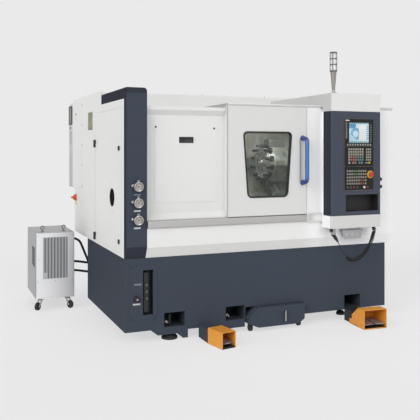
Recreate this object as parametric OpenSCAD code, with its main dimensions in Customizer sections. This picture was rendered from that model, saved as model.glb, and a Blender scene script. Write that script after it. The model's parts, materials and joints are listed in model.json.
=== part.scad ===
// Compact slant-bed CNC turning machine with its chiller and foot pedals.
// Millimetres, +Z up, +X along the spindle from the headstock to the turret,
// +Y from the operator to the rear. The floor is Z = 0.

/* [Base] */
// Length of the base along the spindle
base_w = 2180; // [2100:10:2240]
// Depth of the base, front to rear
base_d = 1200; // [1190:10:1260]
// Underside of the base above the floor
base_z = 83; // [70:1:95]
// Top of the base, where the enclosure stands
base_top = 594; // [580:1:600]
// Height of the pockets for the levelling screws
pocket_top = 195; // [180:1:210]
// Depth of the levelling pockets
pocket_d = 215; // [205:5:240]
// Bottom height of the front leg
leg_z = 6; // [3:1:12]
// Radius of a levelling pad
pad_r = 58; // [45:1:62]

/* [Enclosure] */
// Overhang of the enclosure past the base's right end
overhang = 40; // [20:5:60]
// Rear of the lower enclosure
body_y = 1770; // [1700:10:1800]
// Rear of the upper enclosure, where the electrical cabinet starts
upper_y = 1400; // [1350:10:1450]
// Thickness of the side walls
wall = 25; // [20:1:30]
// Front plane of the door and of the fixed front panels
face_y = -50; // [-54:1:-46]
// Front plane of the lower skirt and of the corner column
skirt_y = -40; // [-42:1:-38]
// Top of the roof over the service recess
roof_low = 1657; // [1650:1:1662]
// Top of the roof over the door
roof_mid = 1690; // [1685:1:1700]
// Top of the rear roof and of the cap
roof_high = 1780; // [1770:1:1800]
// Top of the raised rear roof, over the cabinet
rear_top = 1816; // [1800:1:1830]
// Front of the raised rear roof
riser_y = 785; // [700:10:800]
// Width of the corner column
column_w = 149; // [140:1:155]
// Height of the dark band on the column's top
band_h = 75; // [60:1:90]
// Rear end of the dark band
band_y = 700; // [600:10:740]
// Depth of the service recess behind its lips
recess_d = 30; // [20:1:36]
// Bottom of the machining opening's rail
rail_z = 805; // [795:1:815]
// Height of the door rail
rail_h = 49; // [40:1:55]

/* [Doors] */
// Left edge of the sliding door when it is shut
door_x = 755; // [740:1:770]
// Width of the sliding door
door_w = 662; // [640:1:680]
// Thickness of the sliding door
door_t = 28; // [22:1:30]
// Height of the sliding door
door_h = 819; // [815:1:819]
// Clearance between a door and what it passes
door_gap = 0.3; // [0.3:0.1:0.6]
// Travel of the sliding door
door_travel = 595; // [500:5:600]
// Width of the window along its top edge
window_top_w = 396; // [360:1:420]
// Width of the window along its bottom edge
window_low_w = 323; // [300:1:350]
// Bottom edge of the window
window_z = 1001; // [980:1:1020]
// Height of the window
window_h = 477; // [440:1:500]
// Width of the rubber gasket round the window
gasket_w = 13; // [8:1:18]
// Front edge of the side door
side_door_y = 100; // [80:5:120]
// Width of the side door
side_door_w = 800; // [760:10:820]
// Bottom of the side door
side_door_z = 620; // [610:1:640]
// Height of the side frame above the side door
side_door_head = 130; // [110:5:160]
// Radius of the bar opening in the side door
bar_hole_r = 65; // [50:1:75]

/* [Control box] */
// Left side of the control box
box_x = 1549; // [1540:1:1560]
// Width of the control box
box_w = 448; // [430:1:460]
// Front of the control box
box_y = -187; // [-195:1:-175]
// Bottom of the dark control box
box_z = 848; // [835:1:860]
// Bottom of the white foot under the control box
foot_z = 752; // [740:1:770]
// Top of the control box, under the cap
box_top = 1643; // [1630:1:1650]
// Radius of the control box's front left edge
box_edge_r = 14; // [8:1:20]
// Height of the operator panel with the emergency stop
operator_h = 179.5; // [170:0.5:190]
// Height of the panel with the screen and keys
key_panel_h = 362; // [350:1:375]
// Width of the bin under the panels
bin_w = 296; // [260:1:310]
// Height of the bin
bin_h = 126; // [100:1:130]
// Depth of the bin
bin_d = 90; // [60:1:95]
// Height of the signal lamp above the cap
lamp_h = 315; // [280:1:340]
// Radius of the signal lamp's lens
lamp_r = 25; // [20:1:30]
// Travel of the emergency stop button
estop_travel = 5; // [3:1:6]

/* [Spindle and slides] */
// Distance of the spindle axis from the base's front
spindle_y = 353; // [345:1:360]
// Height of the spindle axis above the floor
spindle_z = 998; // [990:1:1005]
// Radius of the spindle's bar bore
bore_r = 26; // [20:1:30]
// Radius of the spindle in its bearings
spindle_r = 70; // [60:1:74]
// Radial running clearance of a shaft
running_gap = 0.05; // [0.03:0.01:0.08]
// Radius of the chuck
chuck_r = 82; // [78:1:90]
// Length of the chuck body
chuck_l = 90; // [80:1:100]
// Width of a chuck jaw
jaw_w = 22; // [18:1:26]
// Slope of the bed
slant = 45; // [43:1:47]
// Front face of the turret disc along the spindle
turret_x = 1358; // [1340:1:1380]
// Distance from the spindle axis to the turret axis along the slope
turret_reach = 342; // [335:1:350]
// Radius of the turret disc
turret_r = 134; // [125:1:140]
// Thickness of the turret disc
turret_t = 70; // [60:1:80]
// Number of tool stations on the turret
stations = 12; // [8:1:12]

/* [Tank, chiller and pedals] */
// Left side of the coolant tank
tank_x = 930; // [920:1:940]
// Width of the coolant tank
tank_w = 470; // [450:1:480]
// Depth of the coolant tank
tank_d = 620; // [560:10:660]
// Top of the coolant tank
tank_top = 171; // [160:1:180]
// Left side of the chiller
chiller_x = -430; // [-450:5:-410]
// Width of the chiller
chiller_w = 320; // [300:5:330]
// Front of the chiller
chiller_y = 1220; // [1200:5:1240]
// Depth of the chiller
chiller_d = 530; // [500:10:560]
// Bottom of the chiller's cabinet
chiller_z = 100; // [90:1:110]
// Top of the chiller's cabinet
chiller_top = 650; // [630:1:670]
// Diameter of the chiller hoses
hose_dia = 20; // [16:1:22]
// Height of a foot pedal's hood
pedal_h = 114; // [105:1:125]
// Height of the double pedal's hood
pedal2_h = 146; // [138:1:160]

/* [Hidden] */
$fn = 48;

seat = 0.3;
navy = "#40444f";
white = "#dcdcdc";
black = "#1b1c1e";
steel = "#b9bcc0";
orange = "#e3943a";

// Enclosure
body_w = base_w + overhang;
rail_top = rail_z + rail_h;
side_door_h = roof_high - side_door_head - side_door_z;
door_z = rail_top + seat;
door_back = face_y + door_t;
lip_y = door_back + 4;
recess_y = lip_y + recess_d;
sheet = 20;
deck_t = 17;
frame_x1 = box_x;
foot_y = 0;
chamfer_z = 670;

// Bed slope: its own frame has x along the spindle, y up the slope, z off the slope
bed_toe_y = 350;
bed_toe_z = base_top + 33;
bed_x0 = 60;
bed_x1 = base_w - 40;
bed_rear = 1150;
slope_l = 919;
axis_s = (spindle_y - bed_toe_y) * cos(slant) + (spindle_z - bed_toe_z) * sin(slant);
axis_n = (spindle_z - bed_toe_z) * cos(slant) - (spindle_y - bed_toe_y) * sin(slant);
turret_s = axis_s + turret_reach;
way_h = 35;
way_w = 35;
way_s = [180, 770];
head_x0 = 170;
head_x1 = 750;
nose_x = 775;
chuck_x1 = nose_x + chuck_l;
slot_x = chuck_x1 - 25;
saddle_x = turret_x + turret_t + 22;
saddle_w = 300;
saddle_h = 60;
cross_way_h = 20;
house_x = turret_x + turret_t + 4;

// Control box
panel_x = 1665;
panel_w = 264;
panel_z = 1042.5;
panel_split = panel_z + operator_h;
panel_top = panel_split + key_panel_h;
screen_z = [panel_top - 182, panel_top - 26];
screen_x = [panel_x + 36, panel_x + 223];
panel_t = 4;
flange_y = -75;
estop_x = 1898;
estop_z = panel_z + 116.5;
stem_r = 11;
lamp_x = 1600;
lamp_y = -137;

// Door handle
handle_x = 621;
handle_z = [1090, 1448];
handle_reach = 56;
handle_r = 11;

// Service cover and its flush pull
cover_x = [220, 698];
cover_z = [972, 1518];
cover_t = 3;
pull_x = [404, 506];
pull_z = [1402, 1438];
pull_rim = 6;

// Electrical cabinet
cab_w = 1500;
cab_y1 = 1860;
cab_z0 = 1000;
cab_z1 = 1775;
cab_wall = 20;
cab_cover_step = 30;
cooler_w = 410;
cooler_d = 290;
cooler_z = [990, 1800];
cab_door_x = [455, cab_w - 15];
drive_pitch = (cab_w - 570) / 6;
terminal_pitch = (cab_w - 580) / 8;
drive_gap = 25;
cab_door_t = 20;
cab_door_y = cab_y1 + seat;
cab_hinge_r = 8;
cab_hinge = [cab_door_x[1] + 5, cab_door_y + cab_door_t + cab_hinge_r + 0.7];
cabinet_hinge_z = [1150, 1640];
side_hinge_z = [652, 1400];
side_hinge_r = 9;
side_hinge_x = -side_hinge_r - 0.5;

// Pedals: [front left corner x, y, turn, width, depth]
pedal1 = [579, -354, 11, 112, 178];
pedal2 = [1757, -310, -4, 196, 215];
plate_h = 10;
hood_t = 5;
hood_d = 90;
rear_d = 180;
arm_h = 95;

// Overall reach, for the origin at the centre of the footprint
x_lo = chiller_x;
x_hi = body_w;
y_lo = pedal1[1];
y_hi = cab_y1 + cooler_d;

module centred() translate([-(x_lo + x_hi) / 2, -(y_lo + y_hi) / 2, 0]) children();

module block(x, y, z) translate([x[0], y[0], z[0]]) cube([x[1] - x[0], y[1] - y[0], z[1] - z[0]]);

// A (Y, Z) profile extruded along X
module along_x(x, profile) translate([x[0], 0, 0]) rotate([90, 0, 90])
    linear_extrude(x[1] - x[0]) polygon(profile);

// A (X, Z) profile extruded along Y
module along_y(y, profile) translate([0, y[1], 0]) rotate([90, 0, 0])
    linear_extrude(y[1] - y[0]) polygon(profile);

module rod_x(x0, x1, y, z, r) translate([x0, y, z]) rotate([0, 90, 0]) cylinder(h = x1 - x0, r = r);
module rod_y(y0, y1, x, z, r) translate([x, y1, z]) rotate([90, 0, 0]) cylinder(h = y1 - y0, r = r);
module rod_z(z0, z1, x, y, r) translate([x, y, z0]) cylinder(h = z1 - z0, r = r);

function unit(v) = v / norm(v);

// Convex outline with arcs of radius r at its corners
module rounded(points, r) {
    n = len(points);
    corner = [for (i = [0 : n - 1]) let (p = points[i], a = unit(points[(i + n - 1) % n] - p),
        b = unit(points[(i + 1) % n] - p), half = acos(a * b) / 2) [p, a, b, half]];
    polygon([for (c = corner) each [c[0] + c[1] * r / tan(c[3]), c[0] + c[2] * r / tan(c[3])]]);
    for (c = corner) translate(c[0] + unit(c[1] + c[2]) * r / sin(c[3])) circle(r);
}

function rect(x, z) = [[x[0], z[0]], [x[1], z[0]], [x[1], z[1]], [x[0], z[1]]];

// Rounded plate facing the operator
module plate_y(x, y, z, r) translate([0, y[1], 0]) rotate([90, 0, 0])
    linear_extrude(y[1] - y[0]) rounded(rect(x, z), r);

module on_slope() translate([0, bed_toe_y, bed_toe_z]) rotate([slant, 0, 0]) children();

// Frame of the spindle: z along +X, x pointing down
module at_spindle() translate([0, spindle_y, spindle_z]) rotate([0, 90, 0]) children();

// Tube of diameter d along the points of a route, closed at both ends
function turn_to(v) = let (u = unit(v), side = unit(cross(abs(u[2]) < 0.9 ? [0, 0, 1] : [1, 0, 0], u)))
    [side, cross(u, side)];
module tube_along(route, d, sides = 8) {
    n = len(route);
    rings = [for (i = [0 : n - 1])
        let (ahead = route[min(i + 1, n - 1)] - route[max(i - 1, 0)], f = turn_to(ahead))
        for (k = [0 : sides - 1]) let (a = 360 * k / sides)
            route[i] + d / 2 * (cos(a) * f[0] + sin(a) * f[1])];
    walls = [for (i = [0 : n - 2]) for (k = [0 : sides - 1]) let (l = (k + 1) % sides)
        [i * sides + k, (i + 1) * sides + k, (i + 1) * sides + l, i * sides + l]];
    polyhedron(rings, concat(walls, [[for (k = [0 : sides - 1]) k]],
        [[for (k = [sides - 1 : -1 : 0]) (n - 1) * sides + k]]));
}

// ---- Base ----
window_x = [[287, 441], [763, 913], [1791, 1941]];
foot_x = [345, 838, 1866];
foot_in = [58, 170, 170];
leg_floor = 42;
slot = [[130, 204], [196, 509]];
bay_gap = 8;

module machine_base() color(navy) {
    bay = [tank_x - bay_gap, tank_x + tank_w + bay_gap];
    guide_z = [90, 104];
    difference() {
        union() {
            block([0, base_w], [0, base_d], [base_z, base_top]);
            along_y([foot_y, 200], [[187, base_z], [240, leg_floor], [392, leg_floor], [428, leg_z],
                [466, leg_z], [466, base_z]]);
        }
        block(bay, [-1, tank_d], [base_z - 1, tank_top + 8]);
        for (x = window_x) block(x, [-1, pocket_d], [95, pocket_top]);
        for (i = [0 : 2]) {
            rod_z(base_z - 50, pocket_top - 20, foot_x[i], foot_in[i], 13);
            rod_z(base_z - 1, pocket_top - 20, foot_x[i], base_d - 100, 13);
        }
        block(slot[0], [-1, 60], slot[1]);
    }
    block([bay[0] - 1, tank_x - seat], [60, tank_d + 1], guide_z);
    block([tank_x + tank_w + seat, bay[1] + 1], [60, tank_d + 1], guide_z);
}

module levelling_feet() color(black) {
    places = [for (i = [0 : 2]) [foot_x[i], foot_in[i], i == 0 ? leg_floor : base_z],
        for (i = [0 : 2]) [foot_x[i], base_d - 100, base_z]];
    for (p = places) translate([p[0], p[1], 0]) {
        rotate_extrude() polygon([[0, 0], [pad_r, 0], [pad_r, 14], [pad_r - 16, 30], [22, 34], [0, 34]]);
        translate([0, 0, 33]) cylinder(h = pocket_top - 20 - seat - 33, r = 11);
        translate([0, 0, 34]) cylinder(h = p[2] - 34 - seat, r = 19, $fn = 6);
    }
}

module valve_cover() color(navy) difference() {
    plate_y([35, 235], [-3, 0], [165, 545], 4);
    block(slot[0], [-4, 1], slot[1]);
}

module valve_manifold() color(black) {
    block([140, 172], [12, 60], [215, 490]);
    for (z = [309, 357, 404]) rod_y(4, 12, 158, z, 9);
    rod_y(-24, -3, 84, 312, 20);
}

module coolant_tank() color(navy) {
    front_y = -50;
    x1 = tank_x + tank_w;
    difference() {
        along_y([front_y, tank_d - 30], [[tank_x, 62], [tank_x + 80, 30], [x1 - 50, 30], [x1, 62],
            [x1, tank_top], [tank_x + 65, tank_top], [tank_x, tank_top - 60]]);
        block([tank_x + 12, x1 - 12], [60, tank_d - 60], [75, tank_top + 1]);
    }
    for (x = [tank_x + 30, x1 - 30], y = [0, tank_d - 90]) {
        rod_x(x - 11, x + 11, y, 27, 27);
        block([x - 14, x + 14], [y - 16, y + 16], [27, 62]);
    }
    bow_x = tank_x + 290;
    for (z = [75, 135]) rod_y(front_y - 26, front_y, bow_x, z, 5);
    rod_z(66, 144, bow_x, front_y - 26, 6);
}

// ---- Enclosure ----
module column_cover() color(navy) {
    along_x([0, column_w], [[skirt_y, roof_high], [skirt_y, chamfer_z], [0, base_top],
        [wall, base_top], [wall, roof_high]]);
    block([0, wall], [wall, band_y], [roof_high - band_h, roof_high]);
}

module pressure_gauges() color(steel) for (z = [1096, 984, 866]) {
    gx = 78;
    rod_y(skirt_y - 20, skirt_y, gx, z, 24);
    rod_y(skirt_y - 34, skirt_y - 18, gx, z, 31);
    rod_x(gx - 38, gx - 20, skirt_y - 12, z + 6, 8);
    rod_x(gx + 20, gx + 36, skirt_y - 12, z - 4, 7);
    block([gx - 24, gx + 24], [skirt_y - 1.5, skirt_y], [z - 62, z - 51]);
}

module side_frame() color(white) {
    y1 = side_door_y + side_door_w;
    z1 = side_door_z + side_door_h;
    difference() {
        along_x([0, wall], [[wall, base_top], [body_y, base_top], [body_y, cab_z0],
            [upper_y, cab_z0], [upper_y, rear_top], [riser_y, rear_top], [riser_y, roof_high],
            [band_y, roof_high],
            [band_y, roof_high - band_h], [wall, roof_high - band_h]]);
        block([-1, wall + 1], [side_door_y, y1], [side_door_z, z1]);
    }
    for (z = side_hinge_z) {
        rod_z(z - 30, z - seat, side_hinge_x, y1, side_hinge_r);
        block([-8, 0], [y1 + 2, y1 + 18], [z - 30, z - seat]);
    }
}

module side_door() color(white) {
    y1 = side_door_y + side_door_w;
    lock_y = side_door_y + 49;
    difference() {
        block([0, wall - 3], [side_door_y + 3, y1 - 3],
            [side_door_z + seat, side_door_z + side_door_h - 3]);
        rod_x(-1, wall, spindle_y, spindle_z, bar_hole_r);
    }
    for (z = side_hinge_z) {
        rod_z(z, z + 30, side_hinge_x, y1, side_hinge_r);
        block([-8, 0], [y1 - 18, y1 - 3], [z, z + 30]);
    }
    for (z = [696, 1360]) rod_x(-5, 0, lock_y, z, 14);
    difference() {
        rod_x(-2, 0, spindle_y, spindle_z, bar_hole_r + 52);
        rod_x(-3, 1, spindle_y, spindle_z, bar_hole_r + 46);
    }
}

module recess_panel() color(white) {
    back = recess_y + sheet;
    difference() {
        along_x([column_w, door_x], [[lip_y, roof_low], [lip_y, roof_low - 25],
            [recess_y, roof_low - 61], [recess_y, rail_top + 47], [lip_y, rail_top + 10],
            [lip_y, rail_top], [back, rail_top], [back, roof_low]]);
        plate_y([cover_x[0] + 12, cover_x[1] - 12], [recess_y + 6, back + 1], [cover_z[0] + 12, cover_z[1] - 12], 10);
    }
}

module service_cover() color(white) {
    difference() {
        plate_y(cover_x, [recess_y - cover_t, recess_y], cover_z, 6);
        plate_y(pull_x, [recess_y - cover_t - 1, recess_y + 1], pull_z, 5);
    }
    difference() {
        plate_y([pull_x[0] - pull_rim, pull_x[1] + pull_rim], [recess_y - 2 * cover_t, recess_y - cover_t],
            [pull_z[0] - pull_rim, pull_z[1] + pull_rim], 8);
        plate_y(pull_x, [recess_y - 2 * cover_t - 1, recess_y - cover_t + 1], pull_z, 5);
    }
}

module front_frame() color(white) {
    x1 = frame_x1;
    opening = [door_x + 45, door_x + door_w - 40];
    fixed_x = door_x + door_w + 3;
    difference() {
        block([door_x, x1], [door_back + 4, wall], [rail_top, roof_mid - 26]);
        block(opening, [door_back, wall + 1], [rail_top + 46, roof_mid - 70]);
    }
    block([fixed_x, x1], [face_y, door_back + 4], [rail_top, roof_mid - 16]);
}

module lower_skirt() color(white) along_x([column_w, body_w], [[skirt_y, rail_z],
    [skirt_y, chamfer_z], [0, base_top + 2], [0, base_top], [wall, base_top], [wall, rail_z]]);

module right_housing() color(white) {
    z1 = roof_mid - 26;
    corner = 16;
    translate([0, 0, rail_z]) linear_extrude(z1 - rail_z) difference() {
        union() {
            polygon([[box_x, face_y], [body_w - corner, face_y], [body_w, face_y + corner],
                [body_w, upper_y], [body_w - wall, upper_y], [body_w - wall, wall], [box_x, wall]]);
            translate([body_w - corner, face_y + corner]) circle(corner);
        }
    }
    block([box_x, box_x + box_w], [flange_y, face_y], [foot_z, box_top]);
    translate([0, 0, foot_z]) linear_extrude(box_z - seat - foot_z) box_plan();
    block([body_w - wall, body_w], [riser_y + wall, upper_y], [z1, rear_top - wall]);
    along_x([body_w - wall, body_w], [[wall, base_top], [body_y, base_top], [body_y, cab_z0],
        [upper_y, cab_z0], [upper_y, rail_z], [wall, rail_z]]);
}

// Raised rear part of the roof, closed by a folded riser
function rear_roof(front, under) = [front[0], [riser_y, front[0][1]], [riser_y, rear_top - 16],
    [riser_y + 8, rear_top], [upper_y, rear_top], [upper_y, rear_top - wall],
    [riser_y + wall, rear_top - wall], [riser_y + wall, under], for (p = front) if (p != front[0]) p];

module roof_panel() color(white) {
    low = roof_low - deck_t;
    mid = roof_mid - 26;
    back = recess_y + sheet;
    along_x([wall, door_x], rear_roof([[back, roof_low], [back, low]], low));
    along_x([door_x, body_w], rear_roof([[face_y - 10, roof_mid], [wall, mid], [door_back + 4, mid],
        [door_back + 4, roof_mid - 16 + seat], [face_y, roof_mid - 16 + seat],
        [face_y - 10, roof_mid - 7]], mid));
}

module roof_cap() color(white) {
    x1 = box_x + box_w;
    edge = 5;
    along_y([face_y - 10, riser_y], [[box_x, roof_mid], [x1, roof_mid], [x1, roof_high - edge],
        [x1 - edge, roof_high], [box_x + edge, roof_high], [box_x, roof_high - edge]]);
    translate([0, 0, box_top]) linear_extrude(roof_high - box_top) difference() {
        union() {
            polygon([[box_x + box_edge_r, box_y], [x1, box_y], [x1, face_y - 10],
                [box_x, face_y - 10], [box_x, box_y + box_edge_r]]);
            translate([box_x + box_edge_r, box_y + box_edge_r]) circle(box_edge_r);
        }
    }
}

module rear_panel() color(white) {
    x1 = body_w - wall;
    along_x([cab_w, x1], [[upper_y, rear_top - wall], [upper_y, cab_z0], [body_y, cab_z0],
        [body_y, base_top], [body_y - wall, base_top], [body_y - wall, cab_z0 - wall],
        [upper_y - wall, cab_z0 - wall], [upper_y - wall, rear_top - wall]]);
    block([wall, x1], [base_d, body_y - wall], [base_top, base_top + 6]);
    difference() {
        block([wall, cab_w], [body_y - wall, body_y], [base_top, cab_z0]);
        for (x = [500 : 60 : 1280]) plate_y([x, x + 26], [body_y - wall - 1, body_y + 1], [680, 900], 12);
    }
}

module chamber_liner() color("#8b8f86") {
    top = bed_toe_z + slope_l * sin(slant);
    y = bed_toe_y + slope_l * cos(slant);
    z1 = roof_mid - 26 - seat;
    block([head_x1 + 30, bed_x1], [y + 1, y + 7], [top, z1]);
    block([bed_x1, bed_x1 + 6], [wall + 2, y + 7], [rail_top, z1]);
    along_x([head_x1 + 30, bed_x1], [[wall, rail_top + 20], [bed_toe_y - 14, bed_toe_z - 6],
        [bed_toe_y - 14, bed_toe_z], [wall, rail_top + 28]]);
}

module door_rail() color(steel) along_x([column_w, frame_x1], [[face_y - 8, rail_z + 4],
    [face_y - 8, rail_top - 4], [face_y - 4, rail_top], [face_y + 8, rail_top],
    [face_y + 8, rail_top - 24], [door_back - 6, rail_top - 24], [door_back - 6, rail_top],
    [recess_y, rail_top], [recess_y, rail_z], [face_y - 4, rail_z]]);

// ---- Sliding door ----
function window_outline(grow) = let (xm = door_x + 328, z0 = window_z - grow,
    z1 = window_z + window_h + grow, a = window_low_w / 2 + grow, b = window_top_w / 2 + grow)
    [[xm - a, z0], [xm + a, z0], [xm + b, z1], [xm - b, z1]];

module window_slab(y, grow) translate([0, y[1], 0]) rotate([90, 0, 0])
    linear_extrude(y[1] - y[0]) rounded(window_outline(grow), 28 + grow);

module door_panel() color(white) {
    guide_y = (face_y + door_back) / 2 + 1;
    difference() {
        block([door_x, door_x + door_w], [face_y, door_back], [door_z, door_z + door_h]);
        window_slab([face_y - 1, door_back + 1], 0);
        block([door_x + 30, door_x + 90], [door_back - 18, door_back + 1], [980, 1500]);
    }
    for (x = [door_x + 60, door_x + door_w - 160])
        block([x, x + 100], [guide_y - 4, guide_y + 4], [rail_top - 24 + seat, door_z]);
}

module door_window() color("#9fa8ad", 0.4) window_slab([face_y + 6, face_y + 12], -seat);

module window_gasket() color(black) difference() {
    window_slab([face_y - 5, face_y], gasket_w);
    window_slab([face_y - 6, face_y + 1], -3);
}

module door_handle() color("#3f62ad") {
    x = door_x + handle_x;
    bar_y = face_y - handle_reach;
    rod_z(handle_z[0], handle_z[1], x, bar_y, handle_r);
    for (end = handle_z) {
        translate([x, bar_y, end]) sphere(handle_r);
        rod_y(bar_y, face_y, x, end, handle_r);
        rod_y(face_y - 5, face_y, x, end, handle_r + 5);
    }
}

// ---- Control box ----
module box_plan() {
    x1 = box_x + box_w;
    polygon([[box_x + box_edge_r, box_y], [x1 - 3, box_y], [x1, box_y + 3], [x1, flange_y],
        [box_x, flange_y], [box_x, box_y + box_edge_r]]);
    translate([box_x + box_edge_r, box_y + box_edge_r]) circle(box_edge_r);
}

module control_box() color(navy) {
    x1 = box_x + box_w;
    bin = [x1 - 23 - bin_w, x1 - 23];
    difference() {
        translate([0, 0, box_z]) linear_extrude(box_top - box_z) box_plan();
        block(bin, [box_y - 1, box_y + bin_d], [879, 879 + bin_h]);
        rod_y(box_y - 1, box_y + 40, estop_x, estop_z, stem_r + 4);
    }
    for (z = [1120, 1062]) rod_x(x1 - 2, x1 + 14, -120, z, 11);
}

module key_panel() color(black) difference() {
    plate_y([panel_x, panel_x + panel_w], [box_y - panel_t, box_y], [panel_split + 2, panel_top], 5);
    plate_y(screen_x, [box_y - panel_t - 1, box_y - 2], screen_z, 3);
}

module screen() color("#9cc8e0") plate_y([screen_x[0] + 1, screen_x[1] - 1], [box_y - 3, box_y - 2],
    [screen_z[0] + 1, screen_z[1] - 1], 2);

module key_row(x, n, pitch, size, z, y) for (i = [0 : n - 1])
    block([x + i * pitch, x + i * pitch + size], [y - 1.6, y], [z, z + size]);

module keypad() color("#a9a9a4") {
    y = box_y - panel_t;
    top_row = panel_top - 238;
    key_row(panel_x + 21, 10, 23, 12, screen_z[0] - 20, y);
    for (i = [0 : 4]) key_row(panel_x + 32, 7, 20.5, 15, top_row - i * 20, y);
    for (i = [0 : 4]) key_row(panel_x + 193, 3, 17, 13, top_row - i * 20, y);
    for (dx = [32, 66, 125]) key_row(panel_x + dx, dx == 32 ? 1 : 2, 22, 17, panel_split + 20, y);
}

module operator_panel() color(black) {
    y = box_y - panel_t;
    difference() {
        plate_y([panel_x, panel_x + panel_w], [y, box_y], [panel_z, panel_split - 2], 5);
        rod_y(y - 1, box_y + 1, estop_x, estop_z, stem_r + seat);
    }
    for (i = [0 : 4]) key_row(panel_x + 19, 9, 20.5, 14, panel_split - 42 - i * 24, y);
    difference() {
        rod_y(y - 3, y, estop_x, estop_z, 30);
        rod_y(y - 4, y + 1, estop_x, estop_z, stem_r + seat);
    }
    for (dx = [25, 53, 81, 111, 177, 207]) rod_y(y - 6, y, panel_x + dx, panel_z + 19.5, 8);
}

module estop_button() color("#c8361f") {
    y = box_y - panel_t - 3 - estop_travel - 2;
    rod_y(y, box_y + 12, estop_x, estop_z, stem_r);
    translate([estop_x, y, estop_z]) rotate([90, 0, 0])
        rotate_extrude() polygon([[0, 0], [17, 0], [20, 4], [20, 11], [15, 16], [0, 18]]);
}

module hanger_bracket() color("#8c8f94") {
    hole_z = 688;
    difference() {
        along_y([-70, -66], [[1720, 721], [1920, 721], [1896, 652], [1744, 652]]);
        for (x = [1772, 1820, 1868]) rod_y(-71, -65, x, hole_z, 15);
    }
    block([1720, 1920], [-66, skirt_y], [717, 721]);
    block([1730, 1910], [skirt_y - 4, skirt_y], [721, 745]);
}

module cable_socket() color(black) {
    rod_z(700, foot_z, lead_x, lead_y, 17);
    translate([lead_x, lead_y, 700]) sphere(17);
    translate([lead_x, lead_y, 700]) rotate([0, 145, 0]) cylinder(h = 44, r = 13);
}

// Hand wheel cable: a plain lead, then a curly stretch that ends in the box's underside
lead_x = 1610;
lead_y = -120;
lead_start = [lead_x + 44 * sin(145), lead_y, 700 + 44 * cos(145)];
coil_dia = 24;
lead_route = [lead_start, [1643, -120, 653], [1651, -120, 641], [1659, -120, 628], [1667, -120, 613],
    [1675, -121, 598], [1683, -121, 583], [1690, -121, 570], [1698, -120, 556], [1707, -120, 546]];
coil_route = [[1707, -120, 546], [1725, -120, 526], [1744, -120, 510], [1766, -120, 500],
    [1793, -120, 496], [1820, -120, 499], [1846, -120, 508], [1872, -120, 523], [1898, -120, 544],
    [1922, -120, 570], [1943, -120, 600], [1960, -120, 633], [1972, -120, 668], [1979, -120, 704],
    [1981, -120, 732], [1981, -120, foot_z]];

module handwheel_lead() color(black) tube_along(lead_route, 7);
module handwheel_coil() color(black) tube_along(coil_route, coil_dia, 10);

module lamp_stem() color("#9a9da1") {
    frame_z = roof_high + lamp_h - 147;
    translate([lamp_x, lamp_y, roof_high]) {
        rotate_extrude() polygon([[0, 0], [26, 0], [26, 4], [14, 8], [12, 24], [lamp_r - 2, frame_z - roof_high - 10],
            [lamp_r + 1, frame_z - roof_high], [0, frame_z - roof_high]]);
        for (a = [45 : 90 : 315]) rotate(a) translate([lamp_r - 1, -3, frame_z - roof_high - 2])
            cube([4, 6, 140]);
    }
    rod_z(roof_high + lamp_h - 9, roof_high + lamp_h, lamp_x, lamp_y, lamp_r + 3);
}

module lamp_lens() color("#e8ecef", 0.5) rod_z(roof_high + lamp_h - 147, roof_high + lamp_h - 9,
    lamp_x, lamp_y, lamp_r - 1 - seat);

// ---- Electrical cabinet ----
module elec_cabinet() color(white) {
    opening = [cab_door_x[0] + 25, cab_door_x[1] - 25];
    difference() {
        block([0, cab_w], [upper_y, cab_y1], [cab_z0, cab_z1]);
        block([cab_wall + 420, cab_w - cab_wall], [upper_y + cab_wall, cab_y1 - cab_wall],
            [cab_z0 + cab_wall, cab_z1 - cab_wall]);
        block(opening, [cab_y1 - cab_wall - 1, cab_y1 + 1], [cab_z0 + 30, cab_z1 - 30]);
    }
    block([-3, 0], [upper_y + 4, cab_y1 - 4], [cab_z0 + 4, cab_z1 - 4]);
    block([0, cab_w], [upper_y, cab_y1 - cab_cover_step], [cab_z1, rear_top]);
    for (i = [0 : 5]) block([500 + i * drive_pitch, 500 + (i + 1) * drive_pitch - drive_gap],
        [upper_y + cab_wall, upper_y + 180], [i < 3 ? 1320 : 1380, 1690]);
    for (i = [0 : 7]) block([510 + i * terminal_pitch, 510 + (i + 1) * terminal_pitch - drive_gap],
        [upper_y + cab_wall, upper_y + 110], [1090, 1210]);
    for (z = cabinet_hinge_z) {
        rod_z(z - 30, z - seat, cab_hinge[0], cab_hinge[1], cab_hinge_r);
        block([cab_hinge[0] - 2, cab_hinge[0] + 5], [cab_y1, cab_hinge[1]], [z - 30, z - seat]);
    }
}

module cabinet_door() color(white) {
    outer_y = cab_door_y + cab_door_t;
    block(cab_door_x, [cab_door_y, outer_y], [cab_z0 + 10, cab_z1 - 10]);
    for (z = cabinet_hinge_z) {
        rod_z(z, z + 30, cab_hinge[0], cab_hinge[1], cab_hinge_r);
        block([cab_hinge[0] - 20, cab_hinge[0]], [outer_y, outer_y + 5], [z, z + 30]);
    }
    block([cab_door_x[0] + 40, cab_door_x[0] + 66], [outer_y, outer_y + 14], [1340, 1460]);
}

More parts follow.
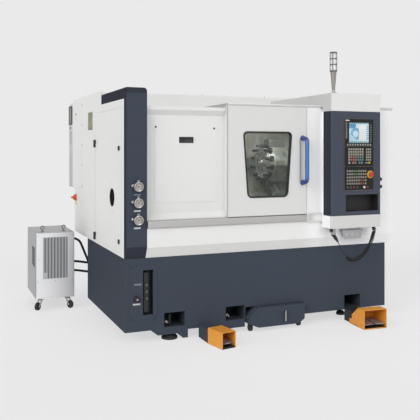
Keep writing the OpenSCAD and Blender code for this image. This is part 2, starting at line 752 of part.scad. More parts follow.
module cabinet_cooler() color(white) {
    x = [20, 20 + cooler_w];
    y = [cab_y1, cab_y1 + cooler_d];
    vent = [y[0] + 30, y[1] - 30];
    difference() {
        block(x, y, cooler_z);
        for (z = [1606 : 22 : 1738]) block([x[0] - 1, x[0] + 12], vent, [z, z + 12]);
        for (z = [1120 : 22 : 1340]) block([x[0] + 40, x[1] - 40], [y[1] - 12, y[1] + 1], [z, z + 12]);
        rod_y(y[1] - 30, y[1] + 1, (x[0] + x[1]) / 2, 1580, 92);
    }
    for (r = [20, 42, 64, 86]) difference() {
        rod_y(y[1] - 6, y[1] - 2, (x[0] + x[1]) / 2, 1580, r);
        rod_y(y[1] - 7, y[1] - 1, (x[0] + x[1]) / 2, 1580, r - 5);
    }
    for (a = [0, 90]) translate([(x[0] + x[1]) / 2, y[1] - 8, 1580]) rotate([0, a, 0])
        translate([-92.5, 0, -3]) cube([185, 4, 6]);
}

module main_switch() color("#d2572f") {
    translate([-seat, 1700, 910]) rotate([0, -90, 0]) {
        cylinder(h = 14, r = 30);
        cylinder(h = 26, r = 22);
        translate([-8, -24, 26]) cube([16, 48, 18]);
    }
}

// ---- Bed, spindle and slides ----
module bed_casting() color("#6d7472") {
    top = bed_toe_z + slope_l * sin(slant);
    y1 = bed_toe_y + slope_l * cos(slant);
    along_x([bed_x0, bed_x1], [[bed_toe_y, base_top], [bed_rear, base_top], [bed_rear, top],
        [y1, top], [bed_toe_y, bed_toe_z]]);
    on_slope() for (s = way_s) block([head_x1 + 60, bed_x1 - 20], [s, s + way_w], [-1, way_h]);
}

module headstock() color("#6d7472") {
    bearing_r = spindle_r + running_gap;
    on_slope() difference() {
        along_x([head_x0, head_x1], [[axis_s - 170, 0], [axis_s + 185, 0], [axis_s + 185, axis_n - 30],
            [axis_s + 120, axis_n + 122], [axis_s - 95, axis_n + 122], [axis_s - 150, axis_n + 66],
            [axis_s - 170, axis_n]]);
        translate([0, axis_s, axis_n]) rotate([0, 90, 0]) translate([0, 0, head_x0 - 1])
            cylinder(h = head_x1 - head_x0 + 2, r = bearing_r);
        for (x = [230 : 70 : 650]) block([x, x + 34], [axis_s + 172, axis_s + 186], [30, axis_n - 60]);
    }
}

module spindle() color(steel) at_spindle() difference() {
    union() {
        translate([0, 0, 62]) cylinder(h = 88, r = 76);
        translate([0, 0, 150]) cylinder(h = head_x1 - 150 + 5, r = spindle_r);
        translate([0, 0, head_x1 + seat]) cylinder(h = nose_x - head_x1 - seat, r = chuck_r - 6);
    }
    translate([0, 0, 61]) cylinder(h = nose_x - 60, r = bore_r);
}

module jaw_slot(angle, x, width, r) rotate([0, 0, angle])
    translate([r[0], -width / 2, x[0]]) cube([r[1] - r[0], width, x[1] - x[0]]);

jaw_angle = [180, 300, 60];

module chuck_body() color("#a4a8ac") at_spindle() difference() {
    union() {
        translate([0, 0, nose_x]) cylinder(h = chuck_l - 6, r = chuck_r);
        translate([0, 0, chuck_x1 - 6]) cylinder(h = 6, r = chuck_r - 4);
    }
    translate([0, 0, nose_x - 1]) cylinder(h = chuck_l + 2, r = bore_r);
    for (a = jaw_angle) jaw_slot(a, [slot_x, chuck_x1 + 1], jaw_w, [0, chuck_r + 1]);
    for (a = jaw_angle) rotate([0, 0, a + 60]) translate([chuck_r - 22, 0, chuck_x1 - 12]) cylinder(h = 13, r = 7);
}

module jaw(angle) color(steel) at_spindle() rotate([0, 0, angle]) {
    w = jaw_w - 2 * running_gap - 0.3;
    translate([0, w / 2, 0]) rotate([90, 0, 0]) linear_extrude(w)
        polygon([[36, slot_x + seat], [chuck_r - 4, slot_x + seat], [chuck_r - 4, chuck_x1 + 6],
            [68, chuck_x1 + 6], [68, chuck_x1 + 20], [52, chuck_x1 + 20], [52, chuck_x1 + 36],
            [36, chuck_x1 + 36]]);
}
module jaw_1() jaw(jaw_angle[0]);
module jaw_2() jaw(jaw_angle[1]);
module jaw_3() jaw(jaw_angle[2]);

saddle_n = way_h + seat;
cross_n = saddle_n + saddle_h + cross_way_h + seat;
cross_s = [turret_s - 100, turret_s + 230];

module carriage() color("#7d8384") on_slope() {
    x = [saddle_x, saddle_x + saddle_w];
    block(x, [way_s[0] - 70, way_s[1] + way_w + 60], [saddle_n, saddle_n + saddle_h]);
    for (dx = [30, saddle_w - 60]) block([x[0] + dx, x[0] + dx + 30],
        [way_s[0] - 50, way_s[1] + way_w + 40], [saddle_n + saddle_h - 1, saddle_n + saddle_h + cross_way_h]);
    for (s = way_s) for (side = [-15 - seat, way_w + seat])
        block(x, [s + side, s + side + 15], [4, saddle_n + 1]);
}

module cross_slide() color("#7d8384") on_slope() {
    house = [axis_n - 105, axis_n + 95];
    difference() {
        union() {
            block([saddle_x + 12, saddle_x + saddle_w - 12], cross_s, [cross_n, cross_n + 34]);
            along_x([house_x, saddle_x + 240], [[turret_s - 95, cross_n + 33], [turret_s + 120, cross_n + 33],
                [turret_s + 120, house[1] - 30], [turret_s + 90, house[1]],
                [turret_s - 65, house[1]], [turret_s - 95, house[1] - 30]]);
            translate([saddle_x + 240, turret_s + 30, axis_n + 10]) rotate([0, 90, 0]) cylinder(h = 90, r = 62);
        }
        translate([0, turret_s, axis_n]) rotate([0, 90, 0]) translate([0, 0, house_x - 1])
            cylinder(h = 71, r = 45 + running_gap);
    }
}

// Frame of the turret: z along +X, x pointing down the normal of the slope
module at_turret() on_slope() translate([turret_x, turret_s, axis_n]) rotate([0, 90, 0]) children();

module turret_disc() color("#8f9494") at_turret() {
    flat = turret_r * cos(180 / stations);
    difference() {
        union() {
            translate([0, 0, 8]) cylinder(h = turret_t - 8, r = turret_r);
            cylinder(h = 9, r = turret_r - 8);
            translate([0, 0, turret_t - 1]) cylinder(h = 60, r = 45);
            translate([0, 0, -7]) cylinder(h = 8, r = 34);
        }
        for (i = [0 : stations - 1]) rotate(i * 360 / stations) {
            translate([flat - 4, -22, 14]) cube([20, 44, 30]);
            translate([turret_r - 32, 0, -1]) cylinder(h = 12, r = 9);
        }
        for (i = [0 : 5]) rotate(i * 60 + 15) translate([62, 0, -1]) cylinder(h = 10, r = 6);
    }
}

module tool_holders() color(black) at_turret() for (i = [0 : stations - 1])
    rotate(i * 360 / stations) {
        seat_r = turret_r * cos(180 / stations) - 4;
        translate([seat_r, -21.7, 14 + seat]) cube([i % 2 == 0 ? 34 : 26, 43.4, 29]);
        if (i % 2 == 0) translate([seat_r + 14, -9, -26]) cube([18, 18, 42]);
        else translate([turret_r + seat + 10, 0, -34]) cylinder(h = 50, r = 10);
    }

// ---- Chiller ----
module chiller_body() color("#c9cbcc") {
    x = [chiller_x, chiller_x + chiller_w];
    y = [chiller_y, chiller_y + chiller_d];
    difference() {
        union() {
            block(x, y, [chiller_z, chiller_top]);
            along_y([y[0] + 14, y[1] - 14], [[x[0] + 6, chiller_top], [x[1] - 6, chiller_top],
                [x[1] - 46, chiller_top + 26], [x[0] + 46, chiller_top + 26]]);
        }
        block([x[0] + 28, x[1] - 28], [y[0] - 1, y[0] + 24], [chiller_z + 225, chiller_top - 32]);
        for (i = [0 : 4]) block([x[0] - 1, x[0] + 10], [y[0] + 70 + i * 34, y[0] + 88 + i * 34],
            [chiller_z + 260, chiller_z + 420]);
    }
    for (px = [x[0] + 60, x[1] - 60], py = [y[0] + 60, y[1] - 60]) castor(px, py);
    for (px = [x[0] + 70, x[1] - 70]) translate([px, y[0] + 120, chiller_top + 32]) rotate([90, 0, 0])
        rotate_extrude() translate([12, 0]) circle(4, $fn = 16);
}

module castor(px, py) {
    r = 34;
    for (dx = [-21, 17]) translate([px + dx, py, 0]) rotate([90, 0, 90]) linear_extrude(4)
        polygon([[-22, chiller_z - 8], [22, chiller_z - 8], [40, r + 4], [34, r - 10], [16, r - 8]]);
    block([px - 28, px + 28], [py - 28, py + 28], [chiller_z - 8, chiller_z]);
    rod_x(px - 15, px + 15, py + 26, r, r);
    rod_x(px - 22, px + 22, py + 26, r, 6);
}

module chiller_grille() color("#55585a") {
    x = [chiller_x + 28 + seat, chiller_x + chiller_w - 28 - seat];
    z = [chiller_z + 225 + seat, chiller_top - 32 - seat];
    slats = 14;
    pitch = (z[1] - z[0] - 16) / slats;
    difference() {
        block(x, [chiller_y + 4, chiller_y + 24], z);
        block([x[0] + 8, x[1] - 8], [chiller_y + 3, chiller_y + 20], [z[0] + 8, z[1] - 8]);
    }
    for (i = [0 : slats - 1]) along_x([x[0] + 8, x[1] - 8], let (b = z[0] + 8 + i * pitch)
        [[chiller_y + 6, b + 1], [chiller_y + 6, b + 3], [chiller_y + 21, b + 3 + pitch * 0.7],
        [chiller_y + 21, b + 1 + pitch * 0.7]]);
    for (i = [1 : 5]) let (px = x[0] + i * (x[1] - x[0]) / 6)
        block([px - 3, px + 3], [chiller_y + 4, chiller_y + 21], [z[0] + 6, z[1] - 6]);
}

// Hose routes: out of the chiller's side, then into the rear of the base
side_x = -110;
hose_upper_route = [[side_x, 1340, 580], [-100, 1340, 580], [-84, 1340, 577.6], [-66, 1340, 570.4],
    [-49, 1340, 558.9], [-36, 1340, 543.9], [-27, 1340, 526], [-12, 1340, 489], [3, 1340, 452],
    [18, 1340, 415], [33, 1340, 378], [41, 1336, 358], [49, 1326, 338], [56, 1311, 321], [61, 1291, 308],
    [64, 1269, 301], [65, 1247, 299], [65, 1223, 299], [65, base_d, 299]];
hose_middle_route = [[side_x, 1380, 374], [-90, 1380, 374], [-60, 1381, 371], [-30, 1383, 366],
    [0, 1384, 360], [30, 1383, 355], [62, 1378, 350], [94, 1367, 346], [124, 1349, 344],
    [149, 1324, 343], [167, 1294, 344], [178, 1260, 346], [182, 1226, 349], [182, base_d, 349]];
hose_lower_route = [[side_x, 1420, 289], [-90, 1420, 289], [-60, 1421, 286], [-30, 1423, 281],
    [0, 1424, 275], [32, 1424, 269], [66, 1421, 264], [100, 1412, 260], [134, 1396, 257],
    [165, 1373, 256], [190, 1342, 257], [207, 1306, 260], [216, 1266, 264], [220, 1228, 268],
    [220, base_d, 268]];

module hose_upper() color(black) tube_along(hose_upper_route, hose_dia, 10);
module hose_middle() color(black) tube_along(hose_middle_route, hose_dia, 10);
module hose_lower() color(black) tube_along(hose_lower_route, hose_dia, 10);

// ---- Foot pedals ----
// Hooded housing with its front left corner at the origin: a base plate, two cheeks of one outline,
// and a hood that follows the outline's upper points
module pedal_housing(w, d, cheek, hood, t) {
    block([0, w], [0, d], [0, plate_h]);
    for (x = [0, w - t]) along_x([x, x + t], cheek);
    along_x([t - 1, w - t + 1], hood);
}

module at_pedal(p) translate([p[0], p[1], 0]) rotate([0, 0, p[2]]) children();

module pedal_single() color(orange) {
    d = pedal1[4];
    h = pedal_h;
    t = hood_t;
    at_pedal(pedal1) {
        pedal_housing(pedal1[3], d, [[0, plate_h - 1], [0, h], [d - 8, h], [d, h - 8], [d, plate_h - 1]],
            [[0, h], [d - 8, h], [d, h - 8], [d, plate_h - 1], [d - t, plate_h - 1], [d - t, h - 8 - t / 2],
            [d - 8 - t / 2, h - t], [0, h - t]], t);
        for (x = [5, pedal1[3] - 15]) block([x, x + 10], [150, 172], [plate_h - 1, 44]);
    }
    linear_extrude(arm_h) polygon([[547, 0], [547, -181], [640, -163], [640, 0]]);
}

module pedal_double() color(orange) {
    d = pedal2[4];
    h = pedal2_h;
    t = hood_t;
    at_pedal(pedal2) {
        pedal_housing(pedal2[3], d,
            [[0, plate_h - 1], [0, h], [hood_d, h], [rear_d, 76], [rear_d, 42], [hood_d + 6, 26], [hood_d, plate_h - 1]],
            [[0, h], [hood_d, h], [rear_d, 76], [rear_d, 42], [rear_d - t, 42], [rear_d - t, 73], [hood_d - 2, h - t],
            [0, h - t]], t);
        for (x = [1, pedal2[3] - t]) along_x([x, x + t - 1], [[hood_d - 4, plate_h - 1], [hood_d + 4, 30],
            [rear_d, 44], [d, 44], [d, plate_h - 1]]);
        block([2, pedal2[3] - 2], [rear_d - 3, d], [plate_h - 1, 60]);
        for (x = [5, pedal2[3] / 2 - 5, pedal2[3] - 15]) block([x, x + 10], [150, 172], [plate_h - 1, 44]);
    }
    block([1790, 1905], [-106, 0], [0, arm_h]);
}

// Rocking treadle on a cross pin at the rear
module treadle(p, x) color(steel) at_pedal(p) {
    along_x(x, [[12, 30], [12, 35], [150, 48], [166, 42], [166, 34], [152, 34], [140, 40]]);
    rod_x(x[0], x[1], 161, 34, 7);
}
module treadle_single() treadle(pedal1, [15.5, pedal1[3] - 15.5]);
module treadle_left() treadle(pedal2, [15.5, pedal2[3] / 2 - 5.5]);
module treadle_right() treadle(pedal2, [pedal2[3] / 2 + 5.5, pedal2[3] - 15.5]);

centred() machine_base();
centred() bed_casting();
centred() levelling_feet();
centred() valve_cover();
centred() valve_manifold();
centred() column_cover();
centred() pressure_gauges();
centred() side_frame();
centred() recess_panel();
centred() service_cover();
centred() front_frame();
centred() lower_skirt();
centred() right_housing();
centred() roof_panel();
centred() roof_cap();
centred() rear_panel();
centred() chamber_liner();
centred() door_rail();
centred() control_box();
centred() key_panel();
centred() screen();
centred() keypad();
centred() operator_panel();
centred() hanger_bracket();
centred() cable_socket();
centred() handwheel_lead();
centred() handwheel_coil();
centred() lamp_stem();
centred() lamp_lens();
centred() elec_cabinet();
centred() cabinet_cooler();
centred() headstock();
centred() chiller_body();
centred() chiller_grille();
centred() hose_upper();
centred() hose_middle();
centred() hose_lower();
centred() pedal_single();
centred() pedal_double();
centred() door_panel();
centred() door_window();
centred() window_gasket();
centred() door_handle();
centred() side_door();
centred() cabinet_door();
centred() main_switch();
centred() spindle();
centred() chuck_body();
centred() jaw_1();
centred() jaw_2();
centred() jaw_3();
centred() carriage();
centred() cross_slide();
centred() turret_disc();
centred() tool_holders();
centred() estop_button();
centred() treadle_single();
centred() treadle_left();
centred() treadle_right();
centred() coolant_tank();
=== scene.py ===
# %% [markdown]
# # A compact turning centre
# The construction comes packed from the CAD step, with every piece at its real size. This lesson gives that
# model its looks: painted sheet metal with soft edges, a lit control, rubber, glass, chrome and cables. The
# first cell loads the frame, and everything after it is placed from the frame's own boxes.

# %% Load the frame
import json
import math

import bpy
from mathutils import Matrix, Vector


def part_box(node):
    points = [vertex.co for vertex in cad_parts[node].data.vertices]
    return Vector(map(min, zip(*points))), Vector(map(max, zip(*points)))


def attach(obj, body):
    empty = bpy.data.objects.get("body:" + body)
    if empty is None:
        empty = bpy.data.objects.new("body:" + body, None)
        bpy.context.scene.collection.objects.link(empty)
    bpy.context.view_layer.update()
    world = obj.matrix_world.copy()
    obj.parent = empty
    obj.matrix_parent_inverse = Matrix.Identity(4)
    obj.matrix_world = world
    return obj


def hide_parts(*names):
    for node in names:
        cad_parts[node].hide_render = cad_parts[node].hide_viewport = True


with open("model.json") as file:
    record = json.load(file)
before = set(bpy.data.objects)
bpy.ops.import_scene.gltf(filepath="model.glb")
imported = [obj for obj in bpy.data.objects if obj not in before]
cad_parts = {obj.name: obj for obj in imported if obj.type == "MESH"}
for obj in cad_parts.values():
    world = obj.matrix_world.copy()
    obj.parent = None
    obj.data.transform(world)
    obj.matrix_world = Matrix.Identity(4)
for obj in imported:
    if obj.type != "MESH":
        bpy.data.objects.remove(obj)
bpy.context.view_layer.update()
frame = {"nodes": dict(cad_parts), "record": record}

base_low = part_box("machine_base")[0]
body_of = {node: body for body, nodes in frame["record"]["behaviour"]["bodies"].items() for node in nodes}
slot_of = {part["node"]: part["material_slot"] for part in frame["record"]["subparts"]}


def at(x, y, z):
    """A place in millimetres from the base's front left corner on the floor, in the frame's metres."""
    return Vector((base_low.x + x / 1000, base_low.y + y / 1000, z / 1000))


# %% [markdown]
# ## Camera
# The machine is seen from its left front corner at the height of a person's chest. The camera is level, so
# that upright edges stay upright, and the picture is shifted down instead of tilting the camera, as a view
# camera does.

# %% Camera
camera_data = bpy.data.cameras.new("camera")
camera_data.lens = 56.74
camera_data.shift_y = -0.1429
camera = bpy.data.objects.new("camera", camera_data)
camera.location = at(-1210, -4440, 1348)
camera.rotation_euler = (math.radians(90), 0, math.radians(-22.58))
bpy.context.scene.collection.objects.link(camera)
bpy.context.scene.camera = camera
print("Camera at", tuple(round(c, 2) for c in camera.location))

# %% [markdown]
# ## Ways to shape a piece
# Each piece starts as a primitive at its size and place and is then shaped. These helpers deselect
# everything first, because an operator acts on all that is selected, and leave each object at the origin
# with its place in its mesh.

# %% Helpers for shaping
def take(*pieces):
    """Only these pieces are selected, and the first is the active one."""
    if bpy.context.object and bpy.context.object.mode == "EDIT":
        bpy.ops.object.mode_set(mode="OBJECT")
    bpy.ops.object.select_all(action="DESELECT")
    for piece in pieces:
        piece.select_set(True)
    bpy.context.view_layer.objects.active = pieces[0]
    return pieces[0]


def settle(name):
    """Names the piece just added and moves its place, turn and size into its mesh."""
    piece = bpy.context.object
    piece.name = piece.data.name = name
    bpy.ops.object.transform_apply(location=True, rotation=True, scale=True)
    return piece


def modify(piece, kind, **settings):
    """Adds one modifier and applies it."""
    take(piece)
    modifier = piece.modifiers.new(kind, kind)
    for setting, value in settings.items():
        setattr(modifier, setting, value)
    bpy.ops.object.modifier_apply(modifier=modifier.name)
    return piece


def soften(piece, width, segments=2, angle=32):
    """Rounds the sharp edges, with the flat faces kept flat to the light."""
    modify(piece, "BEVEL", width=width, segments=segments, limit_method="ANGLE",
           angle_limit=math.radians(angle), use_clamp_overlap=False)
    bpy.ops.object.shade_smooth_by_angle(angle=math.radians(40))
    return modify(piece, "WEIGHTED_NORMAL", weight=100, keep_sharp=True)


def pick(piece, test):
    """Edit mode with the faces selected that pass the test."""
    take(piece)
    bpy.ops.object.mode_set(mode="EDIT")
    bpy.ops.mesh.select_mode(type="FACE")
    bpy.ops.mesh.select_all(action="DESELECT")
    bpy.ops.object.mode_set(mode="OBJECT")
    for face in piece.data.polygons:
        face.select = test(face)
    bpy.ops.object.mode_set(mode="EDIT")


def sink(piece, test, border, depth):
    """Insets the faces that pass the test and pushes them in by depth."""
    pick(piece, test)
    bpy.ops.mesh.inset(thickness=border)
    bpy.ops.mesh.extrude_region_shrink_fatten(TRANSFORM_OT_shrink_fatten={"value": -depth})
    bpy.ops.object.mode_set(mode="OBJECT")
    return piece


def plate(name, low, high, edge=0.001, segments=2):
    """A flat plate between two corners, with softened edges."""
    bpy.ops.object.select_all(action="DESELECT")
    bpy.ops.mesh.primitive_cube_add(size=1, location=(low + high) / 2)
    bpy.context.object.scale = high - low
    return soften(settle(name), edge, segments) if edge else settle(name)


def rod(name, start, end, radius, edge=0.0008, sides=32, tip=None):
    """A round bar between two points, with softened ends; tip is its radius at the end."""
    bpy.ops.object.select_all(action="DESELECT")
    line = end - start
    bpy.ops.mesh.primitive_cone_add(vertices=sides, radius1=radius, radius2=radius if tip is None else tip,
                                    depth=line.length, location=(start + end) / 2,
                                    rotation=line.to_track_quat("Z", "Y").to_euler())
    return soften(settle(name), edge) if edge else settle(name)


def turned(name, centre, axis, outline, steps=40):
    """A turned piece: one point is extruded along the outline of (radius, height) pairs, then spun."""
    bpy.ops.object.select_all(action="DESELECT")
    bpy.ops.mesh.primitive_plane_add(size=0.01, location=(0, 0, 0))
    piece = bpy.context.object
    piece.name = piece.data.name = name
    bpy.ops.object.mode_set(mode="EDIT")
    bpy.ops.mesh.select_mode(type="VERT")
    bpy.ops.mesh.select_all(action="SELECT")
    bpy.ops.mesh.merge(type="CENTER")
    radius, height = outline[0]
    bpy.ops.transform.translate(value=(radius, 0, height))
    for next_radius, next_height in outline[1:]:
        bpy.ops.mesh.extrude_region_move(
            TRANSFORM_OT_translate={"value": (next_radius - radius, 0, next_height - height)})
        radius, height = next_radius, next_height
    bpy.ops.mesh.select_all(action="SELECT")
    bpy.ops.mesh.spin(steps=steps, angle=math.tau, center=(0, 0, 0), axis=(0, 0, 1))
    bpy.ops.mesh.select_all(action="SELECT")
    bpy.ops.mesh.remove_doubles(threshold=0.00002)
    bpy.ops.mesh.normals_make_consistent(inside=False)
    bpy.ops.object.mode_set(mode="OBJECT")
    piece.rotation_euler = Vector(axis).to_track_quat("Z", "Y").to_euler()
    piece.location = centre
    bpy.ops.object.transform_apply(location=True, rotation=True, scale=True)
    bpy.ops.object.shade_smooth_by_angle(angle=math.radians(35))
    return piece


def bent_tube(name, points, radius, sides=20):
    """A tube bent along a smooth line through these points: a curve with a round section, made a mesh."""
    bpy.ops.object.select_all(action="DESELECT")
    bpy.ops.curve.primitive_nurbs_path_add(location=(0, 0, 0))
    tube = bpy.context.object
    tube.data.splines.clear()
    spline = tube.data.splines.new("POLY")
    spline.points.add(len(points) - 1)
    for knot, point in zip(spline.points, points):
        knot.co = (*point, 1)
    tube.data.bevel_depth = radius
    tube.data.bevel_resolution = sides // 4
    tube.data.use_fill_caps = True
    bpy.ops.object.convert(target="MESH")
    piece = settle(name)
    bpy.ops.object.mode_set(mode="EDIT")
    bpy.ops.mesh.select_all(action="SELECT")
    bpy.ops.mesh.remove_doubles(threshold=0.00002)
    bpy.ops.mesh.normals_make_consistent(inside=False)
    bpy.ops.object.mode_set(mode="OBJECT")
    bpy.ops.object.shade_smooth_by_angle(angle=math.radians(40))
    return piece


def joined(name, pieces):
    """Several shapes made one piece."""
    take(*pieces)
    if len(pieces) > 1:
        bpy.ops.object.join()
    piece = bpy.context.object
    piece.name = piece.data.name = name
    return piece


def repeated(piece, steps):
    """The piece and a copy with its own mesh at each step away from it, made one piece."""
    name, copies = piece.name, [piece]
    for step in steps:
        twin = piece.copy()
        twin.data = piece.data.copy()
        twin.data.transform(Matrix.Translation(Vector(step)))
        bpy.context.scene.collection.objects.link(twin)
        copies.append(twin)
    return joined(name, copies)


def dressed(piece, body, material, slot, *replaced):
    """Gives a finished piece its material and the body it rides on; its slot is not used."""
    piece.data.materials.clear()
    piece.data.materials.append(material)
    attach(piece, body)
    if replaced:
        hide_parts(*replaced)
    return piece


def fitted_plate(name, low, high, edge, material, slot):
    """A plate that stays on the machine, with its material."""
    return dressed(plate(name, low, high, edge), "machine", material, slot)


def fitted_turned(name, base, direction, outline, sides, material, slot):
    """A turned piece that stays on the machine, with its material."""
    return dressed(turned(name, base, direction, outline, sides), "machine", material, slot)


def mm(value):
    return value / 1000


print("Helpers for primitives, edges, turning and copies are ready")

# %% [markdown]
# ## Shader maths
# A finish is easier to read as arithmetic than as a list of nodes. A wire wraps one socket, and each
# operator on it adds the Math node that does the sum. Every other node comes from one method of the finish
# it belongs to.

# %% Shader maths
class Wire:
    """An output socket that Python's operators work on."""

    def __init__(self, finish, socket):
        self.finish = finish
        self.socket = socket

    def maths(self, operation, *others):
        return self.finish.add("Math", dict(enumerate((self, *others))), operation=operation)

    def __add__(self, other):
        return self.maths("ADD", other)

    __radd__ = __add__

    def __mul__(self, other):
        return self.maths("MULTIPLY", other)

    __rmul__ = __mul__

    def __sub__(self, other):
        return self.maths("SUBTRACT", other)

    def __rsub__(self, other):
        return self * -1 + other

    def __gt__(self, other):
        return self.maths("GREATER_THAN", other)

    def __lt__(self, other):
        return self.maths("LESS_THAN", other)

    def wave(self, period):
        """A sine along this value, from 0 to 1."""
        return (self * (math.tau / period)).maths("SINE") * 0.5 + 0.5

    def between(self, low, high):
        return (self > low) * (self < high)

    def clamped(self):
        return self.maths("MAXIMUM", 0.0).maths("MINIMUM", 1.0)


class Finish:
    """One material, built node by node round a Principled shader."""

    def __init__(self, name, colour, roughness=0.5, metallic=0.0, **more):
        self.material = bpy.data.materials.new(name)
        self.material.use_nodes = True
        self.tree = self.material.node_tree
        self.shader = self.tree.nodes["Principled BSDF"]
        self.set({"Base Color": rgb(colour), "Roughness": roughness, "Metallic": metallic})
        self.set({words.replace("_", " ").title().replace("Ior", "IOR"): value for words,
                  value in more.items()})
        self.place = self.add("TexCoord", output="Object")

    def set(self, values):
        for name, value in values.items():
            self.plug(self.shader.inputs[name], value)

    def plug(self, socket, value):
        if isinstance(value, Wire):
            self.tree.links.new(value.socket, socket)
        else:
            socket.default_value = value

    def add(self, kind, values=None, output=0, stops=None, **settings):
        """Adds a node, with its settings first and then the values or wires of its sockets."""
        node = self.tree.nodes.new("ShaderNode" + kind)
        for name, value in settings.items():
            setattr(node, name, value)
        if stops:
            ramp = node.color_ramp
            for position, colour in stops[1:-1]:
                ramp.elements.new(position).color = rgb(colour)
            for element, (position, colour) in zip((ramp.elements[0], ramp.elements[-1]),
                                                   (stops[0], stops[-1])):
                element.position = position
                element.color = rgb(colour)
        for name, value in (values or {}).items():
            self.plug(node.inputs[name], value)
        return Wire(self, node.outputs[output])

    def axes(self):
        """The place along X, Y and Z as three wires, in metres."""
        parts = self.add("SeparateXYZ", {0: self.place})
        return [Wire(self, socket) for socket in parts.socket.node.outputs]

    def noise(self, size, detail=2.0, stretch=(1, 1, 1)):
        """Soft spots of about this size in metres, from 0 to 1."""
        place = self.place
        if stretch != (1, 1, 1):
            place = self.add("VectorMath", {0: place, 1: stretch}, operation="MULTIPLY")
        return self.add("TexNoise", {"Vector": place, "Scale": 1 / size, "Detail": detail})

    def mixed(self, mask, first, second):
        """The first colour where the mask is 0 and the second where it is 1."""
        first, second = (rgb(c) if not isinstance(c, Wire) else c for c in (first, second))
        return self.add("Mix", {0: mask, 6: first, 7: second}, output=2, data_type="RGBA")

    def bump(self, height, depth, strength=1.0):
        """Relief of this depth in metres."""
        self.set({"Normal": self.add("Bump", {"Height": height, "Distance": depth, "Strength": strength})})


def rgb(colour):
    """A colour written as sRGB from 0 to 255, as Blender's linear one."""
    if len(colour) == 4:
        return colour
    return (*(((c / 255 + 0.055) / 1.055) ** 2.4 if c > 10 else c / 255 / 12.92 for c in colour), 1.0)


print("Shader maths is ready")

# %% [markdown]
# ## Finishes
# Sheet metal is powder coated: the film is even, slightly pebbled like orange peel, and its gloss changes a
# little from place to place. The same recipe with other colours makes the white, navy and orange paints.

# %% Paints
def shade(colour, factor):
    return tuple(c * factor for c in colour)


def powder_coat(name, colour, roughness=0.45, drift=0.03, peel=0.00006, peel_size=0.0016, gloss=0.3):
    """Baked paint with a pebbled film and a slow drift of tone."""
    paint = Finish(name, colour, roughness)
    paint.set({"Specular IOR Level": gloss})
    slow = paint.noise(0.9, 3)
    fine = paint.noise(peel_size, 1)
    paint.set({"Base Color": paint.mixed(slow, shade(colour, 1 - drift), colour),
               "Roughness": fine * 0.12 + (roughness - 0.06)})
    paint.bump(fine, peel, 0.5)
    return paint.material


WHITE = (226, 226, 225)
NAVY = (66, 72, 83)
# Painted shade: a darker navy for faces that turn to the left.
NAVY_PAINTED_SHADE = (57, 62, 73)
white_paint = powder_coat("white_powder_coat", WHITE)
cap_paint = powder_coat("roof_cap_powder_coat", (224, 224, 223))
navy_paint = powder_coat("navy_textured_coat", NAVY, 0.6, 0.04, 0.0001, gloss=0.04)
navy_painted_shade = powder_coat("navy_painted_shade_coat", NAVY_PAINTED_SHADE, 0.6, 0.04, 0.0001, gloss=0.04)


def column_coat_with_painted_shade(name):
    """The column's coat, with painted shade on its head and on the bend at its foot."""
    paint = Finish(name, NAVY, 0.56)
    paint.set({"Specular IOR Level": 0.04})
    _, _, z = paint.axes()
    fine = paint.noise(0.0016, 1)
    # Painted shade: the navy is darker above 1.738 m and below 0.684 m.
    head = ((z - 1.738) * 140).clamped()
    tone = paint.mixed(paint.noise(0.9, 3), shade(NAVY, 0.97), NAVY)
    foot = ((z * -1 + 0.684) * 140).clamped()
    tone = paint.mixed(foot, tone, (51, 54, 64))
    paint.set({"Base Color": paint.mixed(head, tone, (54, 56, 66)), "Roughness": fine * 0.12 + 0.52})
    paint.bump(fine, 0.00006, 0.5)
    return paint.material


column_paint = column_coat_with_painted_shade("column_navy_painted_shade_coat")
# Painted shade: a darker white for the roof cap's faces that turn to the left.
painted_shade_white = powder_coat("painted_shade_white_coat", (200, 200, 199))
print("Powder coats:", white_paint.name, navy_paint.name, column_paint.name)

# %% [markdown]
# Bare metals get their look from how they were worked. Ground steel has fine lines along the cut, drawn
# aluminium has longer ones, and chrome is nearly a mirror with a few soft smears.

# %% Metals
def worked_metal(name, colour, roughness, stretch, depth=0.00002, size=0.002):
    """Metal with lines along one axis, where stretch is small."""
    metal = Finish(name, colour, roughness, 1.0)
    lines = metal.noise(size, 2, stretch)
    smear = metal.noise(0.05, 2)
    metal.set({"Base Color": metal.mixed(lines, shade(colour, 0.86), colour),
               "Roughness": lines * 0.12 + smear * 0.08 + (roughness - 0.1)})
    metal.bump(lines, depth, 0.4)
    return metal.material


rail_metal = worked_metal("drawn_aluminium", (199, 198, 197), 0.42, (0.02, 1, 1))
steel = worked_metal("ground_steel", (190, 191, 194), 0.3, (1, 1, 0.1))
turned_steel = worked_metal("turned_steel", (176, 178, 180), 0.32, (1, 0.2, 0.2))
chrome = worked_metal("polished_chrome", (196, 193, 189), 0.2, (1, 1, 1), 0.000005)
print("Metals:", rail_metal.name, steel.name, turned_steel.name, chrome.name)

# %% [markdown]
# Rubber and moulded plastic scatter light off a fine spark texture. The clear lens and the window pane are
# thin, so a part of the light simply passes through them.

# %% Plastics, rubber and glass
def moulded(name, colour, roughness=0.5, spark=0.00005, size=0.0012):
    plastic = Finish(name, colour, roughness)
    grain = plastic.noise(size, 2)
    plastic.set({"Base Color": plastic.mixed(grain, shade(colour, 0.82), colour),
                 "Roughness": grain * 0.14 + (roughness - 0.07)})
    plastic.bump(grain, spark, 0.5)
    return plastic.material


def clear_sheet(name, colour, alpha, roughness=0.06):
    """A thin clear sheet with a faint film of coolant mist."""
    sheet = Finish(name, colour, roughness)
    mist = sheet.noise(0.04, 3)
    sheet.set({"Alpha": mist * 0.08 + (alpha - 0.04), "Roughness": mist * 0.1 + roughness})
    return sheet.material


